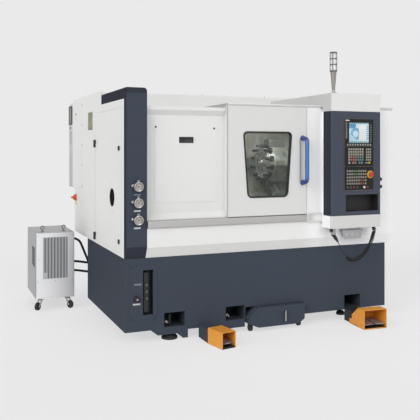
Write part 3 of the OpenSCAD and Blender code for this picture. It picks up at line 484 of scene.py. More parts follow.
black_plastic = moulded("black_moulded_plastic", (24, 25, 28), 0.45)
dark_film = moulded("panel_film", (38, 38, 38), 0.38, 0.00002, 0.0008)
rubber = moulded("black_rubber", (22, 23, 24), 0.62, 0.00008)
hose_skin = moulded("hose_rubber", (13, 14, 18), 0.55, 0.00006)
grey_plastic = moulded("grey_key_plastic", (168, 166, 160), 0.5)
label_film = moulded("bare_label_film", (215, 216, 218), 0.4, 0.00001)
window_pane = clear_sheet("window_pane", (120, 126, 122), 0.1)
lamp_clear = clear_sheet("lamp_lens", (226, 228, 230), 0.55, 0.15)
print("Plastics and clear sheets are ready")

# %% [markdown]
# ## Cables
# A hand wheel hangs from the control on a curly cord, like an old telephone's. It is one long soft lead
# wound round a rod and baked, so here one line of points runs straight out of the angled connector, winds
# round the route and ends straight in the housing. The chiller's three hoses are thicker and stiffer and
# hang in one easy bend each.

# %% Lines for cables
def smooth_line(points, steps):
    """More points on a smooth curve through these (Catmull-Rom)."""
    ends = [points[0] * 2 - points[1], *points, points[-1] * 2 - points[-2]]
    line = []
    for before, start, end, after in zip(ends, ends[1:], ends[2:], ends[3:]):
        for step in range(steps):
            t = step / steps
            line.append(start + (end - before) * t / 2
                        + (before * 2 - start * 5 + end * 4 - after) * t * t / 2
                        + (start * 3 - before - end * 3 + after) * t ** 3 / 2)
    return line + [points[-1]]


def wound(line, radius, pitch, per_turn=14, run_in=0.06):
    """A helix round this line, whose turns open out at both ends so that the lead runs into it softly."""
    lengths = [0]
    for start, end in zip(line, line[1:]):
        lengths.append(lengths[-1] + (end - start).length)
    total = lengths[-1]
    count = round(total / pitch * per_turn)
    sums = [0]
    for step in range(count):
        near = min(1, min(step, count - step) / count * total / run_in)
        sums.append(sums[-1] + near * near * (3 - near * 2))
    turns = round(sums[-1] / per_turn)
    helix, index = [], 0
    for step in range(count + 1):
        along = total * step / count
        while index < len(line) - 2 and lengths[index + 1] < along:
            index += 1
        start, end = line[index], line[index + 1]
        centre = start.lerp(end, (along - lengths[index]) / (lengths[index + 1] - lengths[index]))
        across = Vector((0, 1, 0))
        upright = (end - start).cross(across).normalized()
        near = min(1, min(along, total - along) / (run_in * 1.6))
        aside = radius * (1 - near * near * (3 - near * 2))
        angle = math.tau * turns * sums[step] / sums[-1]
        spoke = across * math.cos(angle) + upright * math.sin(angle)
        helix.append(centre - across * aside + spoke * radius)
    return helix


def flexible(name, points, diameter, rings=3):
    """A round cable on one open line."""
    data = bpy.data.curves.new(name, "CURVE")
    data.dimensions = "3D"
    data.bevel_depth = diameter / 2
    data.bevel_resolution = rings
    data.resolution_u = 1
    data.use_fill_caps = True
    spline = data.splines.new("POLY")
    spline.points.add(len(points) - 1)
    for knot, point in zip(spline.points, points):
        knot.co = (*point, 1)
    cable = bpy.data.objects.new(name, data)
    bpy.context.scene.collection.objects.link(cable)
    return cable


def line_length(points):
    return sum((end - start).length for start, end in zip(points, points[1:]))


lead_route = [(1635.2, 664), (1643, 653), (1651, 641), (1659, 628), (1667, 613), (1675, 598), (1683, 583),
              (1690, 570), (1698, 556), (1707, 546)]
coil_route = [(1707, 546), (1725, 526), (1744, 510), (1766, 500), (1793, 496), (1820, 499), (1846, 508),
              (1872, 523), (1898, 544), (1922, 570), (1943, 600), (1960, 633), (1972, 668), (1979, 704),
              (1981, 732), (1981, 752)]
lead_line = smooth_line([at(x, -120, z) for x, z in lead_route], 3)
coil_line = wound(smooth_line([at(x, -120, z) for x, z in coil_route], 12), 0.0126, 0.0078)
wheel_cable = flexible("hand_wheel_cable", lead_line[:-1] + coil_line, 0.006, 2)
dressed(wheel_cable, "machine", hose_skin, "hose_black", "handwheel_lead", "handwheel_coil")
cable_length = line_length(lead_line[:-1] + coil_line)
print("Hand wheel cable:", round(cable_length, 2), "m with its coil of", len(coil_line), "points")

# %% Chiller hoses
hose_routes = {
    "hose_upper": [(-110, 1340, 580), (-100, 1340, 580), (-84, 1340, 577.6), (-66, 1340, 570.4),
                   (-49, 1340, 558.9),
                   (-36, 1340, 543.9), (-27, 1340, 526), (-12, 1340, 489), (3, 1340, 452), (18, 1340, 415),
                   (33, 1340, 378), (41, 1336, 358), (49, 1326, 338), (56, 1311, 321), (61, 1291, 308),
                   (64, 1269, 301), (65, 1247, 299), (65, 1223, 299), (65, 1200, 299)],
    "hose_middle": [(-110, 1380, 374), (-90, 1380, 374), (-60, 1381, 371), (-30, 1383, 366), (0, 1384, 360),
                    (30, 1383, 355), (62, 1378, 350), (94, 1367, 346), (124, 1349, 344), (149, 1324, 343),
                    (167, 1294, 344), (178, 1260, 346), (182, 1226, 349), (182, 1200, 349)],
    "hose_lower": [(-110, 1420, 289), (-90, 1420, 289), (-60, 1421, 286), (-30, 1423, 281), (0, 1424, 275),
                   (32, 1424, 269), (66, 1421, 264), (100, 1412, 260), (134, 1396, 257), (165, 1373, 256),
                   (190, 1342, 257), (207, 1306, 260), (216, 1266, 264), (220, 1228, 268), (220, 1200, 268)],
}
for node, route in hose_routes.items():
    line = smooth_line([at(*point) for point in route], 3)
    hose = dressed(flexible(node + "_rubber", line, 0.02, 4), "machine", hose_skin, "hose_black", node)
    round(line_length(line), 2)
    for point, side, word in ((line[0], Vector((1, 0, 0)), "chiller"), (line[-1], Vector((0, 1, 0)), "base")):
        outline = [(0.0, 0.0), (0.019, 0.0), (0.019, 0.003), (0.0155, 0.003), (0.0155, 0.009),
                   (0.0135, 0.011),
                   (0.0135, 0.019), (0.0125, 0.021), (0.0, 0.021)]
        fitting = turned(node + "_fitting_" + word, point, side, outline, 24)
        dressed(fitting, "machine", steel, "bright_steel")
    print(node, "is", round(line_length(line), 2), "m long")

# %% [markdown]
# ## Light and floor
# A product like this is pictured in a big white room: light from everywhere, a little more from the front
# left. The sky is one soft white, three wide suns give the faces their different tones, and the floor is a
# plain matte surface. The background tone is only what the camera and mirrors see, so no extra light falls
# on the machine.

# %% Light and floor
BACKDROP = 0.823
SKY = 0.38
FLOOR_SHARE = 0.74
view_settings = bpy.context.scene.view_settings
view_settings.view_transform = "Standard"


def seen_directly(tree):
    """1 for rays that look straight, by mirror or through glass, and 0 for light that only illuminates."""
    path = tree.nodes.new("ShaderNodeLightPath")
    total = path.outputs["Is Camera Ray"]
    for name in ("Is Glossy Ray", "Is Transmission Ray"):
        add = tree.nodes.new("ShaderNodeMath")
        add.operation = "ADD"
        add.use_clamp = True
        tree.links.new(total, add.inputs[0])
        tree.links.new(path.outputs[name], add.inputs[1])
        total = add.outputs[0]
    return total


world = bpy.data.worlds.new("white_room")
bpy.context.scene.world = world
world.use_nodes = True
sky = world.node_tree.nodes["Background"]
sky.inputs["Color"].default_value = (SKY, SKY, SKY, 1)
seen_sky = world.node_tree.nodes.new("ShaderNodeBackground")
seen_sky.inputs["Color"].default_value = (BACKDROP, BACKDROP, BACKDROP, 1)
sky_mix = world.node_tree.nodes.new("ShaderNodeMixShader")
world.node_tree.links.new(seen_directly(world.node_tree), sky_mix.inputs[0])
world.node_tree.links.new(sky.outputs[0], sky_mix.inputs[1])
world.node_tree.links.new(seen_sky.outputs[0], sky_mix.inputs[2])
world.node_tree.links.new(sky_mix.outputs[0], world.node_tree.nodes["World Output"].inputs[0])


def sun(name, towards, strength, spread):
    data = bpy.data.lights.new(name, "SUN")
    data.energy = strength
    data.angle = math.radians(spread)
    lamp = bpy.data.objects.new(name, data)
    lamp.rotation_euler = Vector(towards).to_track_quat("Z", "Y").to_euler()
    bpy.context.scene.collection.objects.link(lamp)
    return strength * Vector(towards).normalized().z / math.pi


floor_light = SKY + sun("left_light", (-0.8, -0.4, 0.45), 1.6, 40)
floor_light += sun("front_light", (0.15, -0.85, 0.5), 0.96, 40)
floor_light += sun("rear_light", (0.5, 0.75, 0.43), 0.6, 60)
bpy.ops.object.select_all(action="DESELECT")
bpy.ops.mesh.primitive_grid_add(x_subdivisions=3, y_subdivisions=3, size=160, location=(0, 0, -0.0005))
floor = settle("studio_floor")
paper = bpy.data.materials.new("matte_floor")
paper.use_nodes = True
paper_tree = paper.node_tree
paper_tree.nodes.clear()
matte = paper_tree.nodes.new("ShaderNodeBsdfDiffuse")
tone = min(1.0, BACKDROP / floor_light)
matte.inputs["Color"].default_value = (tone, tone, tone, 1)
plain = paper_tree.nodes.new("ShaderNodeEmission")
plain.inputs["Color"].default_value = (BACKDROP, BACKDROP, BACKDROP, 1)
share = paper_tree.nodes.new("ShaderNodeMath")
share.operation = "MULTIPLY"
share.inputs[1].default_value = FLOOR_SHARE
floor_mix = paper_tree.nodes.new("ShaderNodeMixShader")
floor_out = paper_tree.nodes.new("ShaderNodeOutputMaterial")
paper_tree.links.new(seen_directly(paper_tree), share.inputs[0])
paper_tree.links.new(share.outputs[0], floor_mix.inputs[0])
paper_tree.links.new(matte.outputs[0], floor_mix.inputs[1])
paper_tree.links.new(plain.outputs[0], floor_mix.inputs[2])
paper_tree.links.new(floor_mix.outputs[0], floor_out.inputs[0])
floor.data.materials.append(paper)
print("Floor tone", round(tone, 3), "under a light of", round(floor_light, 3))

# %% [markdown]
# ## Sheet metal
# Folded sheet has rounded bends and cut edges that catch the light, and a hard computer edge never looks
# like paint. Each panel is a copy of its construction piece whose triangles are merged back to flat faces
# and whose sharp edges get a small bevel. The copy stands for the piece, which stays hidden for the
# collisions.

# The white and navy of some panels carry painted light and shade: the white beside and under the control box
# is painted lighter, and the door, the box's foot and faces that turn to the left are painted darker.

# %% Softened panels
def round_corner(piece, x, z, radius):
    """A wide rounding on the edge that runs along Y at this place in millimetres."""
    take(piece)
    bpy.ops.object.mode_set(mode="EDIT")
    bpy.ops.mesh.select_mode(type="EDGE")
    bpy.ops.mesh.select_all(action="DESELECT")
    bpy.ops.object.mode_set(mode="OBJECT")
    corner = at(x, 0, z)
    ends = [abs(v.co.x - corner.x) < 0.0005 and abs(v.co.z - corner.z) < 0.0005 for v in piece.data.vertices]
    for edge in piece.data.edges:
        edge.select = all(ends[number] for number in edge.vertices)
    bpy.ops.object.mode_set(mode="EDIT")
    bpy.ops.mesh.bevel(offset=radius, segments=6)
    bpy.ops.object.mode_set(mode="OBJECT")


def softened(node, width, material, segments=2, angle=32, merge_faces=True, corner=None):
    """A finished skin over a construction node, with rounded edges."""
    source = frame["nodes"][node]
    skin = source.copy()
    skin.data = source.data.copy()
    for key in list(skin.keys()):
        del skin[key]
    skin.parent = None
    bpy.context.scene.collection.objects.link(skin)
    skin.name = skin.data.name = node + "_finished"
    take(skin)
    bpy.ops.object.mode_set(mode="EDIT")
    bpy.ops.mesh.select_mode(type="VERT")
    bpy.ops.mesh.select_all(action="SELECT")
    bpy.ops.mesh.remove_doubles(threshold=0.00001)
    if merge_faces:
        bpy.ops.mesh.dissolve_limited(angle_limit=math.radians(0.5))
    bpy.ops.object.mode_set(mode="OBJECT")
    if corner:
        round_corner(skin, *corner)
    if width:
        soften(skin, width, segments, angle)
    else:
        bpy.ops.object.shade_smooth_by_angle(angle=math.radians(35))
    return dressed(skin, body_of[node], material, slot_of[node], node)


# Painted shade: the sliding door is a darker white than the panels round it.
door_painted_shade = powder_coat("door_painted_shade_coat", (217, 217, 216), 0.45, 0.02, 0.00006, gloss=0.1)
# Painted light: the white of the front frame, skirt and right housing is painted lighter from 1380 mm to the
# right, beside and under the control box.
painted_light_right_finish = Finish("right_front_painted_light", WHITE, 0.45)
across, _, _ = painted_light_right_finish.axes()
painted_light_share = ((across - at(1380, 0, 0).x) * 6.5).clamped()
painted_light_right_finish.set({"Base Color": painted_light_right_finish.mixed(painted_light_share, WHITE, (244, 244, 245)),
                "Roughness": painted_light_right_finish.noise(0.0016, 1) * 0.1 + 0.4})
painted_light_right_finish.bump(painted_light_right_finish.noise(0.0016, 1), 0.00006, 0.5)
painted_light_right_paint = painted_light_right_finish.material
skins = {
    "side_frame": (1.5, white_paint), "side_door": (1.5, white_paint), "recess_panel": (2.5, white_paint),
    "service_cover": (0.8, white_paint), "front_frame": (2.5, painted_light_right_paint), "lower_skirt": (2.5, painted_light_right_paint),
    "right_housing": (2, painted_light_right_paint), "roof_panel": (2.5, white_paint), "roof_cap": (2, cap_paint),
    "rear_panel": (2, white_paint), "door_panel": (2.5, door_painted_shade), "elec_cabinet": (1, white_paint),
    "cabinet_door": (1.5, white_paint), "cabinet_cooler": (1.5, white_paint), "machine_base": (2, navy_paint),
    "column_cover": (3, column_paint), "valve_cover": (0.8, navy_paint), "coolant_tank": (2, navy_paint),
    "control_box": (1.5, navy_paint), "door_rail": (1, rail_metal), "hanger_bracket": (0.8, steel),
}
skin_of = {node: softened(node, mm(width), paint, merge_faces=node != "side_frame",
                          corner=(149, 1780, 0.024) if node == "column_cover" else None)
           for node, (width, paint) in skins.items()}
print(len(skin_of), "panels have soft edges")

# %% [markdown]
# Some of these skins carry a second finish on a few faces: black hinges on the white side, bare labels
# under the gauges, and painted shade: a dark back in the openings and darker tones on faces that turn to the
# left. The faces are picked by where they are.

# %% Second finishes on the panels
def also(piece, material, test):
    """Gives the faces that pass the test a second material, by the middle of the face in millimetres."""
    piece.data.materials.append(material)
    count = 0
    for face in piece.data.polygons:
        middle = (face.center - Vector((base_low.x, base_low.y, 0))) * 1000
        if test(middle, face.normal):
            face.material_index = len(piece.data.materials) - 1
            count += 1
    return count


lock_core = moulded("lock_core_plastic", (104, 104, 92), 0.5)
# A near black: painted shade inside the valve slot, the chiller's side slots and under the roof, and the
# colour of the double pedal's arms.
dark_parts_and_shade = moulded("dark_parts_and_painted_shade", (34, 35, 40), 0.6)
print(also(skin_of["side_frame"], black_plastic, lambda p, n: p.x < -0.4 and p.y > 880), "hinge faces,",
      also(skin_of["side_door"], black_plastic, lambda p, n: p.x < -0.4 and (p.y > 870 or p.y < 200)),
      "on the door")
pocket_painted_shade = powder_coat("pocket_navy_painted_shade", (60, 64, 70), 0.6, 0.1, gloss=0.04)
base_skin = skin_of["machine_base"]
# Painted shade: the base's faces that turn to the left get the darker navy.
also(base_skin, navy_painted_shade, lambda p, n: n.x < -0.9 and p.x < 1)
# Painted shade: the insides of the levelling pockets are a darker navy.
also(base_skin, pocket_painted_shade, lambda p, n: 1 < p.y < 230 and 90 < p.z < 200 and p.x > 20)
# Painted shade: the inside of the valve slot is near black.
also(base_skin, dark_parts_and_shade, lambda p, n: 1 < p.y < 70 and 195 < p.z < 520 and p.x > 20)
# Painted shade: the column's faces that turn to the left are a much darker navy.
band_painted_shade = powder_coat("column_band_painted_shade", (37, 38, 50), 0.6, 0.04, gloss=0.04)
print(also(skin_of["column_cover"], band_painted_shade, lambda p, n: n.x < -0.7 and p.x < 3), "faces on the band")
also(skin_of["control_box"], navy_painted_shade, lambda p, n: n.x < -0.9 and p.x < 1551)
# Painted shade: the cooler's face that turns to the left is a darker white, darker still on its lower part.
cooler_painted_shade = Finish("cooler_side_painted_shade", WHITE, 0.45)
_, _, height = cooler_painted_shade.axes()
low_part = ((height * -1 + 1.62) * 3.0).clamped()
cooler_painted_shade.set({"Base Color": cooler_painted_shade.mixed(low_part, (210, 210, 210), (176, 176, 176)),
                 "Roughness": cooler_painted_shade.noise(0.0016, 1) * 0.1 + 0.4})
cooler_painted_shade.bump(cooler_painted_shade.noise(0.0016, 1), 0.00006, 0.5)
also(skin_of["cabinet_cooler"], cooler_painted_shade.material, lambda p, n: n.x < -0.9 and p.x < 21)
# Painted shade: the roof cap's faces that turn to the left get the darker white.
also(skin_of["roof_cap"], painted_shade_white, lambda p, n: n.x < -0.5)
# Painted shade: the roof panel's faces that turn to the left are grey.
step_painted_shade = powder_coat("roof_step_painted_shade", (172, 172, 172))
also(skin_of["roof_panel"], step_painted_shade, lambda p, n: n.x < -0.9)

# %% [markdown]
# ## Screws
# A pan head screw is a turned dome with a socket in it. One is shaped, and copies of it hold each panel.

# %% Screws
def screws(name, places, facing, radius, material, body="machine", slot="bright_steel"):
    """Copies of one socket screw, standing on the surface at these places in millimetres."""
    r = mm(radius)
    outline = [(0, 0), (r, 0), (r, 0.45 * r), (0.8 * r, 0.7 * r), (0.5 * r, 0.75 * r), (0.45 * r, 0.35 * r),
               (0, 0.35 * r)]
    first = turned(name, at(*places[0]), facing, outline, 16)
    steps = [at(*place) - at(*places[0]) for place in places[1:]]
    return dressed(repeated(first, steps), body, material, slot)


FRONT, LEFT, BACK, UP = (0, -1, 0), (-1, 0, 0), (0, 1, 0), (0, 0, 1)
dark_screw = moulded("blackened_screw", (30, 31, 36), 0.4)
screws("base_edge_screws", [(x, 0, 585) for x in (275, 630, 986, 1346, 1698, 2060, 2170)], FRONT, 5,
       dark_screw)
screws("valve_cover_screws", [(x, -3, z) for x in (46, 224) for z in (180, 535)], FRONT, 4.5, navy_paint)
screws("cabinet_seam_screws", [(-3, 1412, z) for z in (1029, 1215, 1392, 1569, 1746)], LEFT, 6, grey_plastic)
screws("service_cover_screws", [(226, 9, 1511), (672, 9, 1505)], FRONT, 7, dark_screw)
screws("rear_panel_screws", [(x, 1770, z) for x in (60, 420, 1320) for z in (640, 940)], BACK, 6, dark_screw)
screws("cabinet_top_screws", [(x, y, 1816) for x in (60, 720, 1440) for y in (1430, 1800)], UP, 6, dark_screw)
screws("roof_screws", [(x, y, 1816) for x in (300, 900, 1500, 2140) for y in (815, 1370)], UP, 6, dark_screw)
print("Screws hold the base, covers, cabinet, back and roof")

# %% [markdown]
# ## Left side
# Two quarter-turn locks close the big side door, a bare rating plate is riveted above it, and a
# rubber-lined port takes bar stock from a feeder. At the back a slim cooler hangs on the cabinet behind a
# dark louvred grille.

# %% Locks, plate and bar port
for z in (696, 1360):
    ring = [(0.0, 0.0), (0.017, 0.0), (0.018, 0.002), (0.017, 0.007), (0.0125, 0.0085), (0.011, 0.006),
            (0.0, 0.006)]
    dressed(turned("side_lock_ring_%d" % z, at(-2, 149, z), LEFT, ring, 32), "side_door", black_plastic,
            "black_plastic")
    core = [(0.0, 0.0), (0.0105, 0.0), (0.0105, 0.002), (0.009, 0.0035), (0.0, 0.0035)]
    core = turned("side_lock_core_%d" % z, at(-8, 149, z), LEFT, core, 24)
    slotted = plate("side_lock_key_%d" % z, at(-13, 147.5, z - 7), at(-11, 150.5, z + 7), 0.0005)
    dressed(joined("side_lock_core_%d" % z, [core, slotted]), "side_door", lock_core, "cast_grey")

plate_metal = worked_metal("rating_plate_metal", (150, 147, 128), 0.55, (1, 0.1, 1))
plate_metal.node_tree.nodes["Principled BSDF"].inputs["Metallic"].default_value = 0.2
rating = sink(plate("rating_plate", at(-1.6, 1010, 1515), at(0, 1176, 1666), 0.0006),
              lambda f: f.normal.x < -0.9 and f.area > 0.01, 0.006, -0.0004)
dressed(rating, "machine", plate_metal, "bright_steel")
screws("rating_plate_rivets", [(-1.8, y, z) for y in (1018, 1168) for z in (1523, 1658)], LEFT, 3, steel)

# Painted shade: a black rubber sleeve inside the bar port keeps the hole dark.
sleeve = [(0.0665, 0.0), (0.072, 0.0), (0.072, 0.036), (0.0665, 0.036), (0.0665, 0.0)]
fitted_turned("bar_port_sleeve", at(25.5, 353, 998), (1, 0, 0), sleeve, 48, rubber, "gasket_rubber")
lining = [(0.0615, 0.0), (0.067, -0.0025), (0.067, 0.0), (0.0645, 0.001), (0.0645, 0.0215), (0.0615, 0.0215),
          (0.0615, 0.0)]
dressed(turned("bar_port_lining", at(0, 353, 998), (1, 0, 0), lining, 48), "side_door", rubber,
        "gasket_rubber")
lock_dot = [(0.0, 0.0), (0.009, 0.0), (0.009, 0.003), (0.006, 0.004), (0.0, 0.004)]
fitted_turned("cabinet_lock", at(-3, 1690, 1677), LEFT, lock_dot, 24, black_plastic, "black_plastic")
print("Left side: locks, plate and bar port")

# %% Cooler on the cabinet
cooler_x = 20
frame_plate = sink(plate("cooler_grille_frame", at(cooler_x - 6, 1995, 1592), at(cooler_x, 2146, 1775),
                         0.0015),
                   lambda f: f.normal.x < -0.9 and f.area > 0.01, 0.012, 0.004)
dressed(frame_plate, "machine", black_plastic, "black_plastic")
slat = plate("cooler_grille_slats", at(cooler_x - 5.5, 2010, 1608), at(cooler_x - 2, 2131, 1614), 0.0008)
dressed(repeated(slat, [(0, 0, mm(11 * i)) for i in range(1, 14)]), "machine", grey_plastic, "grille_dark")
fitted_plate("cooler_display", at(cooler_x - 4, 2050, 1548), at(cooler_x, 2120, 1578), 0.001,
             moulded("cooler_display_film", (120, 122, 126), 0.35), "panel_black")
fitted_plate("cooler_bare_label", at(cooler_x - 1, 2006, 1405), at(cooler_x, 2144, 1533), 0.0004,
             moulded("grey_label_film", (186, 186, 187), 0.45, 0.00001), "body_white")
print("Cooler: grille with 14 slats, display and bare label")

# %% [markdown]
# ## Main switch
# The isolator is an orange disc with a grip across it, on a pale yellow plate, so that it is found in a
# hurry.

# %% Main switch
switch_orange = moulded("switch_orange", (226, 104, 58), 0.42, 0.00003)
softened("main_switch", 0.0012, switch_orange)
yellow_plate = moulded("pale_yellow_plate", (236, 226, 164), 0.5, 0.00001)
fitted_plate("main_switch_plate", at(-1.2, 1662, 838), at(0, 1738, 884), 0.0005, yellow_plate,
             "switch_orange")
print("Main switch in", switch_orange.name)

# %% [markdown]
# ## Gauges and valves
# Three dial gauges show the clamping pressures. A dial is a chrome bezel round a white face with a printed
# scale and a needle. The scale is drawn by the material from the angle round the middle.

# %% Gauges
gauge_x, gauge_face_y = 78, -74
gauge_metal = worked_metal("gauge_metal", (138, 134, 132), 0.3, (1, 1, 1))
gauge_body = softened("pressure_gauges", 0.0008, gauge_metal)
grey_label = moulded("grey_blue_label", (128, 134, 146), 0.45, 0.00001)
also(gauge_body, label_film, lambda p, n: p.y > -41.8 and abs(p.x - gauge_x) < 26 and any(
    z - 63 < p.z < z - 50 for z in (984, 866)))
also(gauge_body, grey_label, lambda p, n: p.y > -41.8 and abs(p.x - gauge_x) < 26 and 1033 < p.z < 1046)


def dial_face(name, centre, radius):
    """White card with a scale over three quarters of a turn."""
    face = Finish(name, (206, 203, 196), 0.35)
    x, _, z = face.axes()
    x, z = x - centre.x, z - centre.z
    distance = (x * x + z * z).maths("SQRT")
    angle = x.maths("ARCTAN2", z)
    ticks = (angle * 12).maths("COSINE").maths("GREATER_THAN", 0.72)
    band = distance.between(0.7 * radius, 0.88 * radius) * (angle.maths("ABSOLUTE") < 2.4)
    rim = distance.between(0.9 * radius, 0.94 * radius) * (angle.maths("ABSOLUTE") < 2.4)
    ink = (ticks * band + rim).clamped()
    face.set({"Base Color": face.mixed(ink, (172, 168, 163), (40, 37, 37))})
    return face.material


for number, z in enumerate((1096, 984, 866), 1):
    centre = at(gauge_x, gauge_face_y, z)
    bezel = [(0.0235, 0.0), (0.0325, 0.0), (0.0345, 0.003), (0.0335, 0.009), (0.029, 0.0115), (0.026, 0.010),
             (0.0245, 0.004), (0.0235, 0.0)]
    fitted_turned("gauge_%d_bezel" % number, at(gauge_x, gauge_face_y + 2, z), FRONT, bezel, 48, chrome,
                  "gauge_chrome")
    card = turned("gauge_%d_dial" % number, at(gauge_x, gauge_face_y, z), FRONT,
                  [(0, 0), (0.0248, 0), (0.0248, 0.0012), (0, 0.0012)], 48)
    dressed(card, "machine", dial_face("gauge_%d_scale" % number, centre, 0.0248), "gauge_chrome")
    turn = math.radians((-70, 25, 60)[number - 1])
    point = Vector((math.sin(turn), 0, math.cos(turn)))
    hub = at(gauge_x, gauge_face_y - 3.2, z)
    needle = rod("gauge_%d_needle" % number, hub - point * 0.006, hub + point * 0.018, 0.0016, 0, 12, 0.0005)
    boss = turned("boss", at(gauge_x, gauge_face_y - 1, z), FRONT,
                  [(0, 0), (0.004, 0), (0.003, 0.004), (0, 0.004)], 20)
    dressed(joined("gauge_%d_needle" % number, [needle, boss]), "machine", black_plastic, "black_plastic")
    lug = [(0.0, 0.0), (0.010, 0.0), (0.0115, 0.002), (0.0115, 0.010), (0.009, 0.012), (0.009, 0.017),
           (0.0, 0.017)]
    for word, side, offset in (("left", (-1, 0, 0), (-30, 6)), ("top", (0, 0, 1), (4, 29))):
        fitted_turned("gauge_%d_nut_%s" % (number, word), at(gauge_x + offset[0], -56, z + offset[1]), side,
                      lug, 6, turned_steel, "bright_steel")
print("Three gauges read different pressures")

# %% Valve panel on the base
softened("valve_manifold", 0.0008, black_plastic)
dial_grey = moulded("olive_dial", (92, 96, 84), 0.4)
for z in (309, 357, 404):
    port = [(0.0, 0.0), (0.0095, 0.0), (0.0105, 0.002), (0.0095, 0.005), (0.006, 0.006), (0.005, 0.003),
            (0, 0.003)]
    fitted_turned("valve_port_%d" % z, at(158, 4.5, z), FRONT, port, 28, dial_grey, "cast_grey")
knob_ring = [(0.0, 0.0), (0.020, 0.0), (0.0215, 0.002), (0.0205, 0.012), (0.017, 0.0145), (0.0125, 0.0145),
             (0.011, 0.010), (0.0, 0.010)]
fitted_turned("valve_knob_rim", at(84, -15, 312), FRONT, knob_ring, 36, black_plastic, "black_plastic")
fitted_turned("valve_knob_centre", at(84, -25, 312), FRONT, [(0, 0), (0.008, 0), (0.007, 0.003), (0, 0.004)],
              24, grey_plastic, "bright_steel")
for name, x, z, film in (("upper", 92, 413, grey_label), ("lower", 84, 276, label_film)):
    fitted_plate("valve_label_" + name, at(x - 27, -4, z - 5.5), at(x + 27, -3, z + 5.5), 0.0004, film,
                 "body_white")
print("Valve panel: three ports, a knob and two bare labels")

# %% [markdown]
# ## Service cover
# The recessed cover has a flush black pull: a cup with a sprung flap. The cup is a sunk plate, and the flap
# hangs in it.

# %% Flush pull
cup = sink(plate("flush_pull_cup", at(400, 4.5, 1398), at(510, 10, 1442), 0.0012),
           lambda f: f.normal.y < -0.9 and f.area > 0.003, 0.005, 0.003)
dressed(cup, "machine", black_plastic, "black_plastic")
flap = sink(plate("flush_pull_flap", at(408, 5.2, 1404), at(502, 8, 1434), 0.0012),
            lambda f: f.normal.y < -0.9 and f.area > 0.002, 0.004, 0.0008)
dressed(flap, "machine", dark_film, "black_plastic")
print("Flush pull at", tuple(round(c, 2) for c in at(455, 4.5, 1420)))

# %% [markdown]
# ## Door window
# The pane sits in a black rubber strip that grips it with small teeth. One tooth is a small block, and
# copies follow the edge of the opening all the way round. The door's handle is a thick blue grip between
# two posts.

# %% Window rubber
def round_trapezoid(grow, corner=28, steps=6, centre_x=1083, low=1001, high=1478, half_low=161.5,
                    half_high=198):
    """The window's outline in millimetres, grown outwards, as points with their outward directions."""
    corners = [(centre_x - half_low - grow, low - grow), (centre_x + half_low + grow, low - grow),
               (centre_x + half_high + grow, high + grow), (centre_x - half_high - grow, high + grow)]
    points = []
    for index, corner_point in enumerate(corners):
        here = Vector(corner_point)
        before = (Vector(corners[index - 1]) - here).normalized()
        after = (Vector(corners[(index + 1) % 4]) - here).normalized()
        half = before.angle(after) / 2
        radius = corner + grow
        middle = here + (before + after).normalized() * radius / math.sin(half)
        start = here + before * radius / math.tan(half) - middle
        sweep = math.pi - 2 * half
        for step in range(steps + 1):
            turn = Matrix.Rotation(sweep * step / steps, 2)
            outward = (turn @ start).normalized()
            points.append((middle + outward * radius, outward))
    return points


def window_strip(name, y, thick, inner, outer):
    """A strip round the window: its sheet is inset, the middle is cut out and it gets thickness."""
    half_low, half_high, low, high = 161.5 + outer, 198 + outer, 1001 - outer, 1478 + outer
    bpy.ops.object.select_all(action="DESELECT")
    bpy.ops.mesh.primitive_plane_add(size=1, location=at(1083, y, (low + high) / 2),
                                     rotation=(math.pi / 2, 0, 0))
    bpy.context.object.scale = (mm(2 * half_high), mm(high - low), 1)
    strip = settle(name)
    middle = at(1083, y, low)
    bpy.ops.object.mode_set(mode="EDIT")
    bpy.ops.mesh.select_mode(type="VERT")
    bpy.ops.mesh.select_all(action="DESELECT")
    bpy.ops.object.mode_set(mode="OBJECT")
    for corner in strip.data.vertices:
        corner.select = abs(corner.co.z - middle.z) < 0.01
    bpy.ops.object.mode_set(mode="EDIT")
    bpy.ops.transform.resize(value=(half_low / half_high, 1, 1), center_override=middle)
    bpy.ops.mesh.select_all(action="SELECT")
    bpy.ops.mesh.bevel(offset=mm(28 + outer), segments=8, affect="VERTICES")
    bpy.ops.mesh.select_mode(type="FACE")
    bpy.ops.mesh.select_all(action="SELECT")
    bpy.ops.mesh.inset(thickness=mm(outer - inner))
    bpy.ops.mesh.delete(type="FACE")
    bpy.ops.mesh.select_all(action="SELECT")
    bpy.ops.mesh.extrude_region_move(TRANSFORM_OT_translate={"value": (0, -mm(thick), 0)})
    bpy.ops.mesh.select_all(action="SELECT")
    bpy.ops.mesh.normals_make_consistent(inside=False)
    bpy.ops.object.mode_set(mode="OBJECT")
    return soften(strip, 0.0014)


rubber_strip = window_strip("window_rubber", -49.8, 5, -1, 8)
dressed(rubber_strip, "sliding_door", rubber, "gasket_rubber", "window_gasket")
edge = [p for p, _ in round_trapezoid(-1)]
edge_length = sum((b - a).length for a, b in zip(edge, edge[1:] + edge[:1]))
TOOTH_PITCH = 15.5
count = round(edge_length / TOOTH_PITCH)
tooth = plate("window_rubber_teeth", Vector((-0.0036, 0, -0.0022)), Vector((0.0036, 0.0045, 0.0068)), 0.0008,
              1)
teeth = []
for k in range(count):
    along, index = edge_length * k / count, 0
    while along > (edge[(index + 1) % len(edge)] - edge[index]).length:
        along -= (edge[(index + 1) % len(edge)] - edge[index]).length
        index += 1
    a, b = edge[index], edge[(index + 1) % len(edge)]
    place = a.lerp(b, along / (b - a).length)
    inward = (b - a).orthogonal().normalized()
    if inward.dot(Vector((1083, 1240)) - place) < 0:
        inward = -inward
    copy = tooth.copy()
    copy.data = tooth.data.copy()
    along_axis = Vector((inward.y, 0, -inward.x))
    turn = Matrix((along_axis, (0, 1, 0), (inward.x, 0, inward.y))).transposed().to_4x4()
    copy.data.transform(Matrix.Translation(at(place.x, -50, place.y)) @ turn)
    bpy.context.scene.collection.objects.link(copy)
    teeth.append(copy)
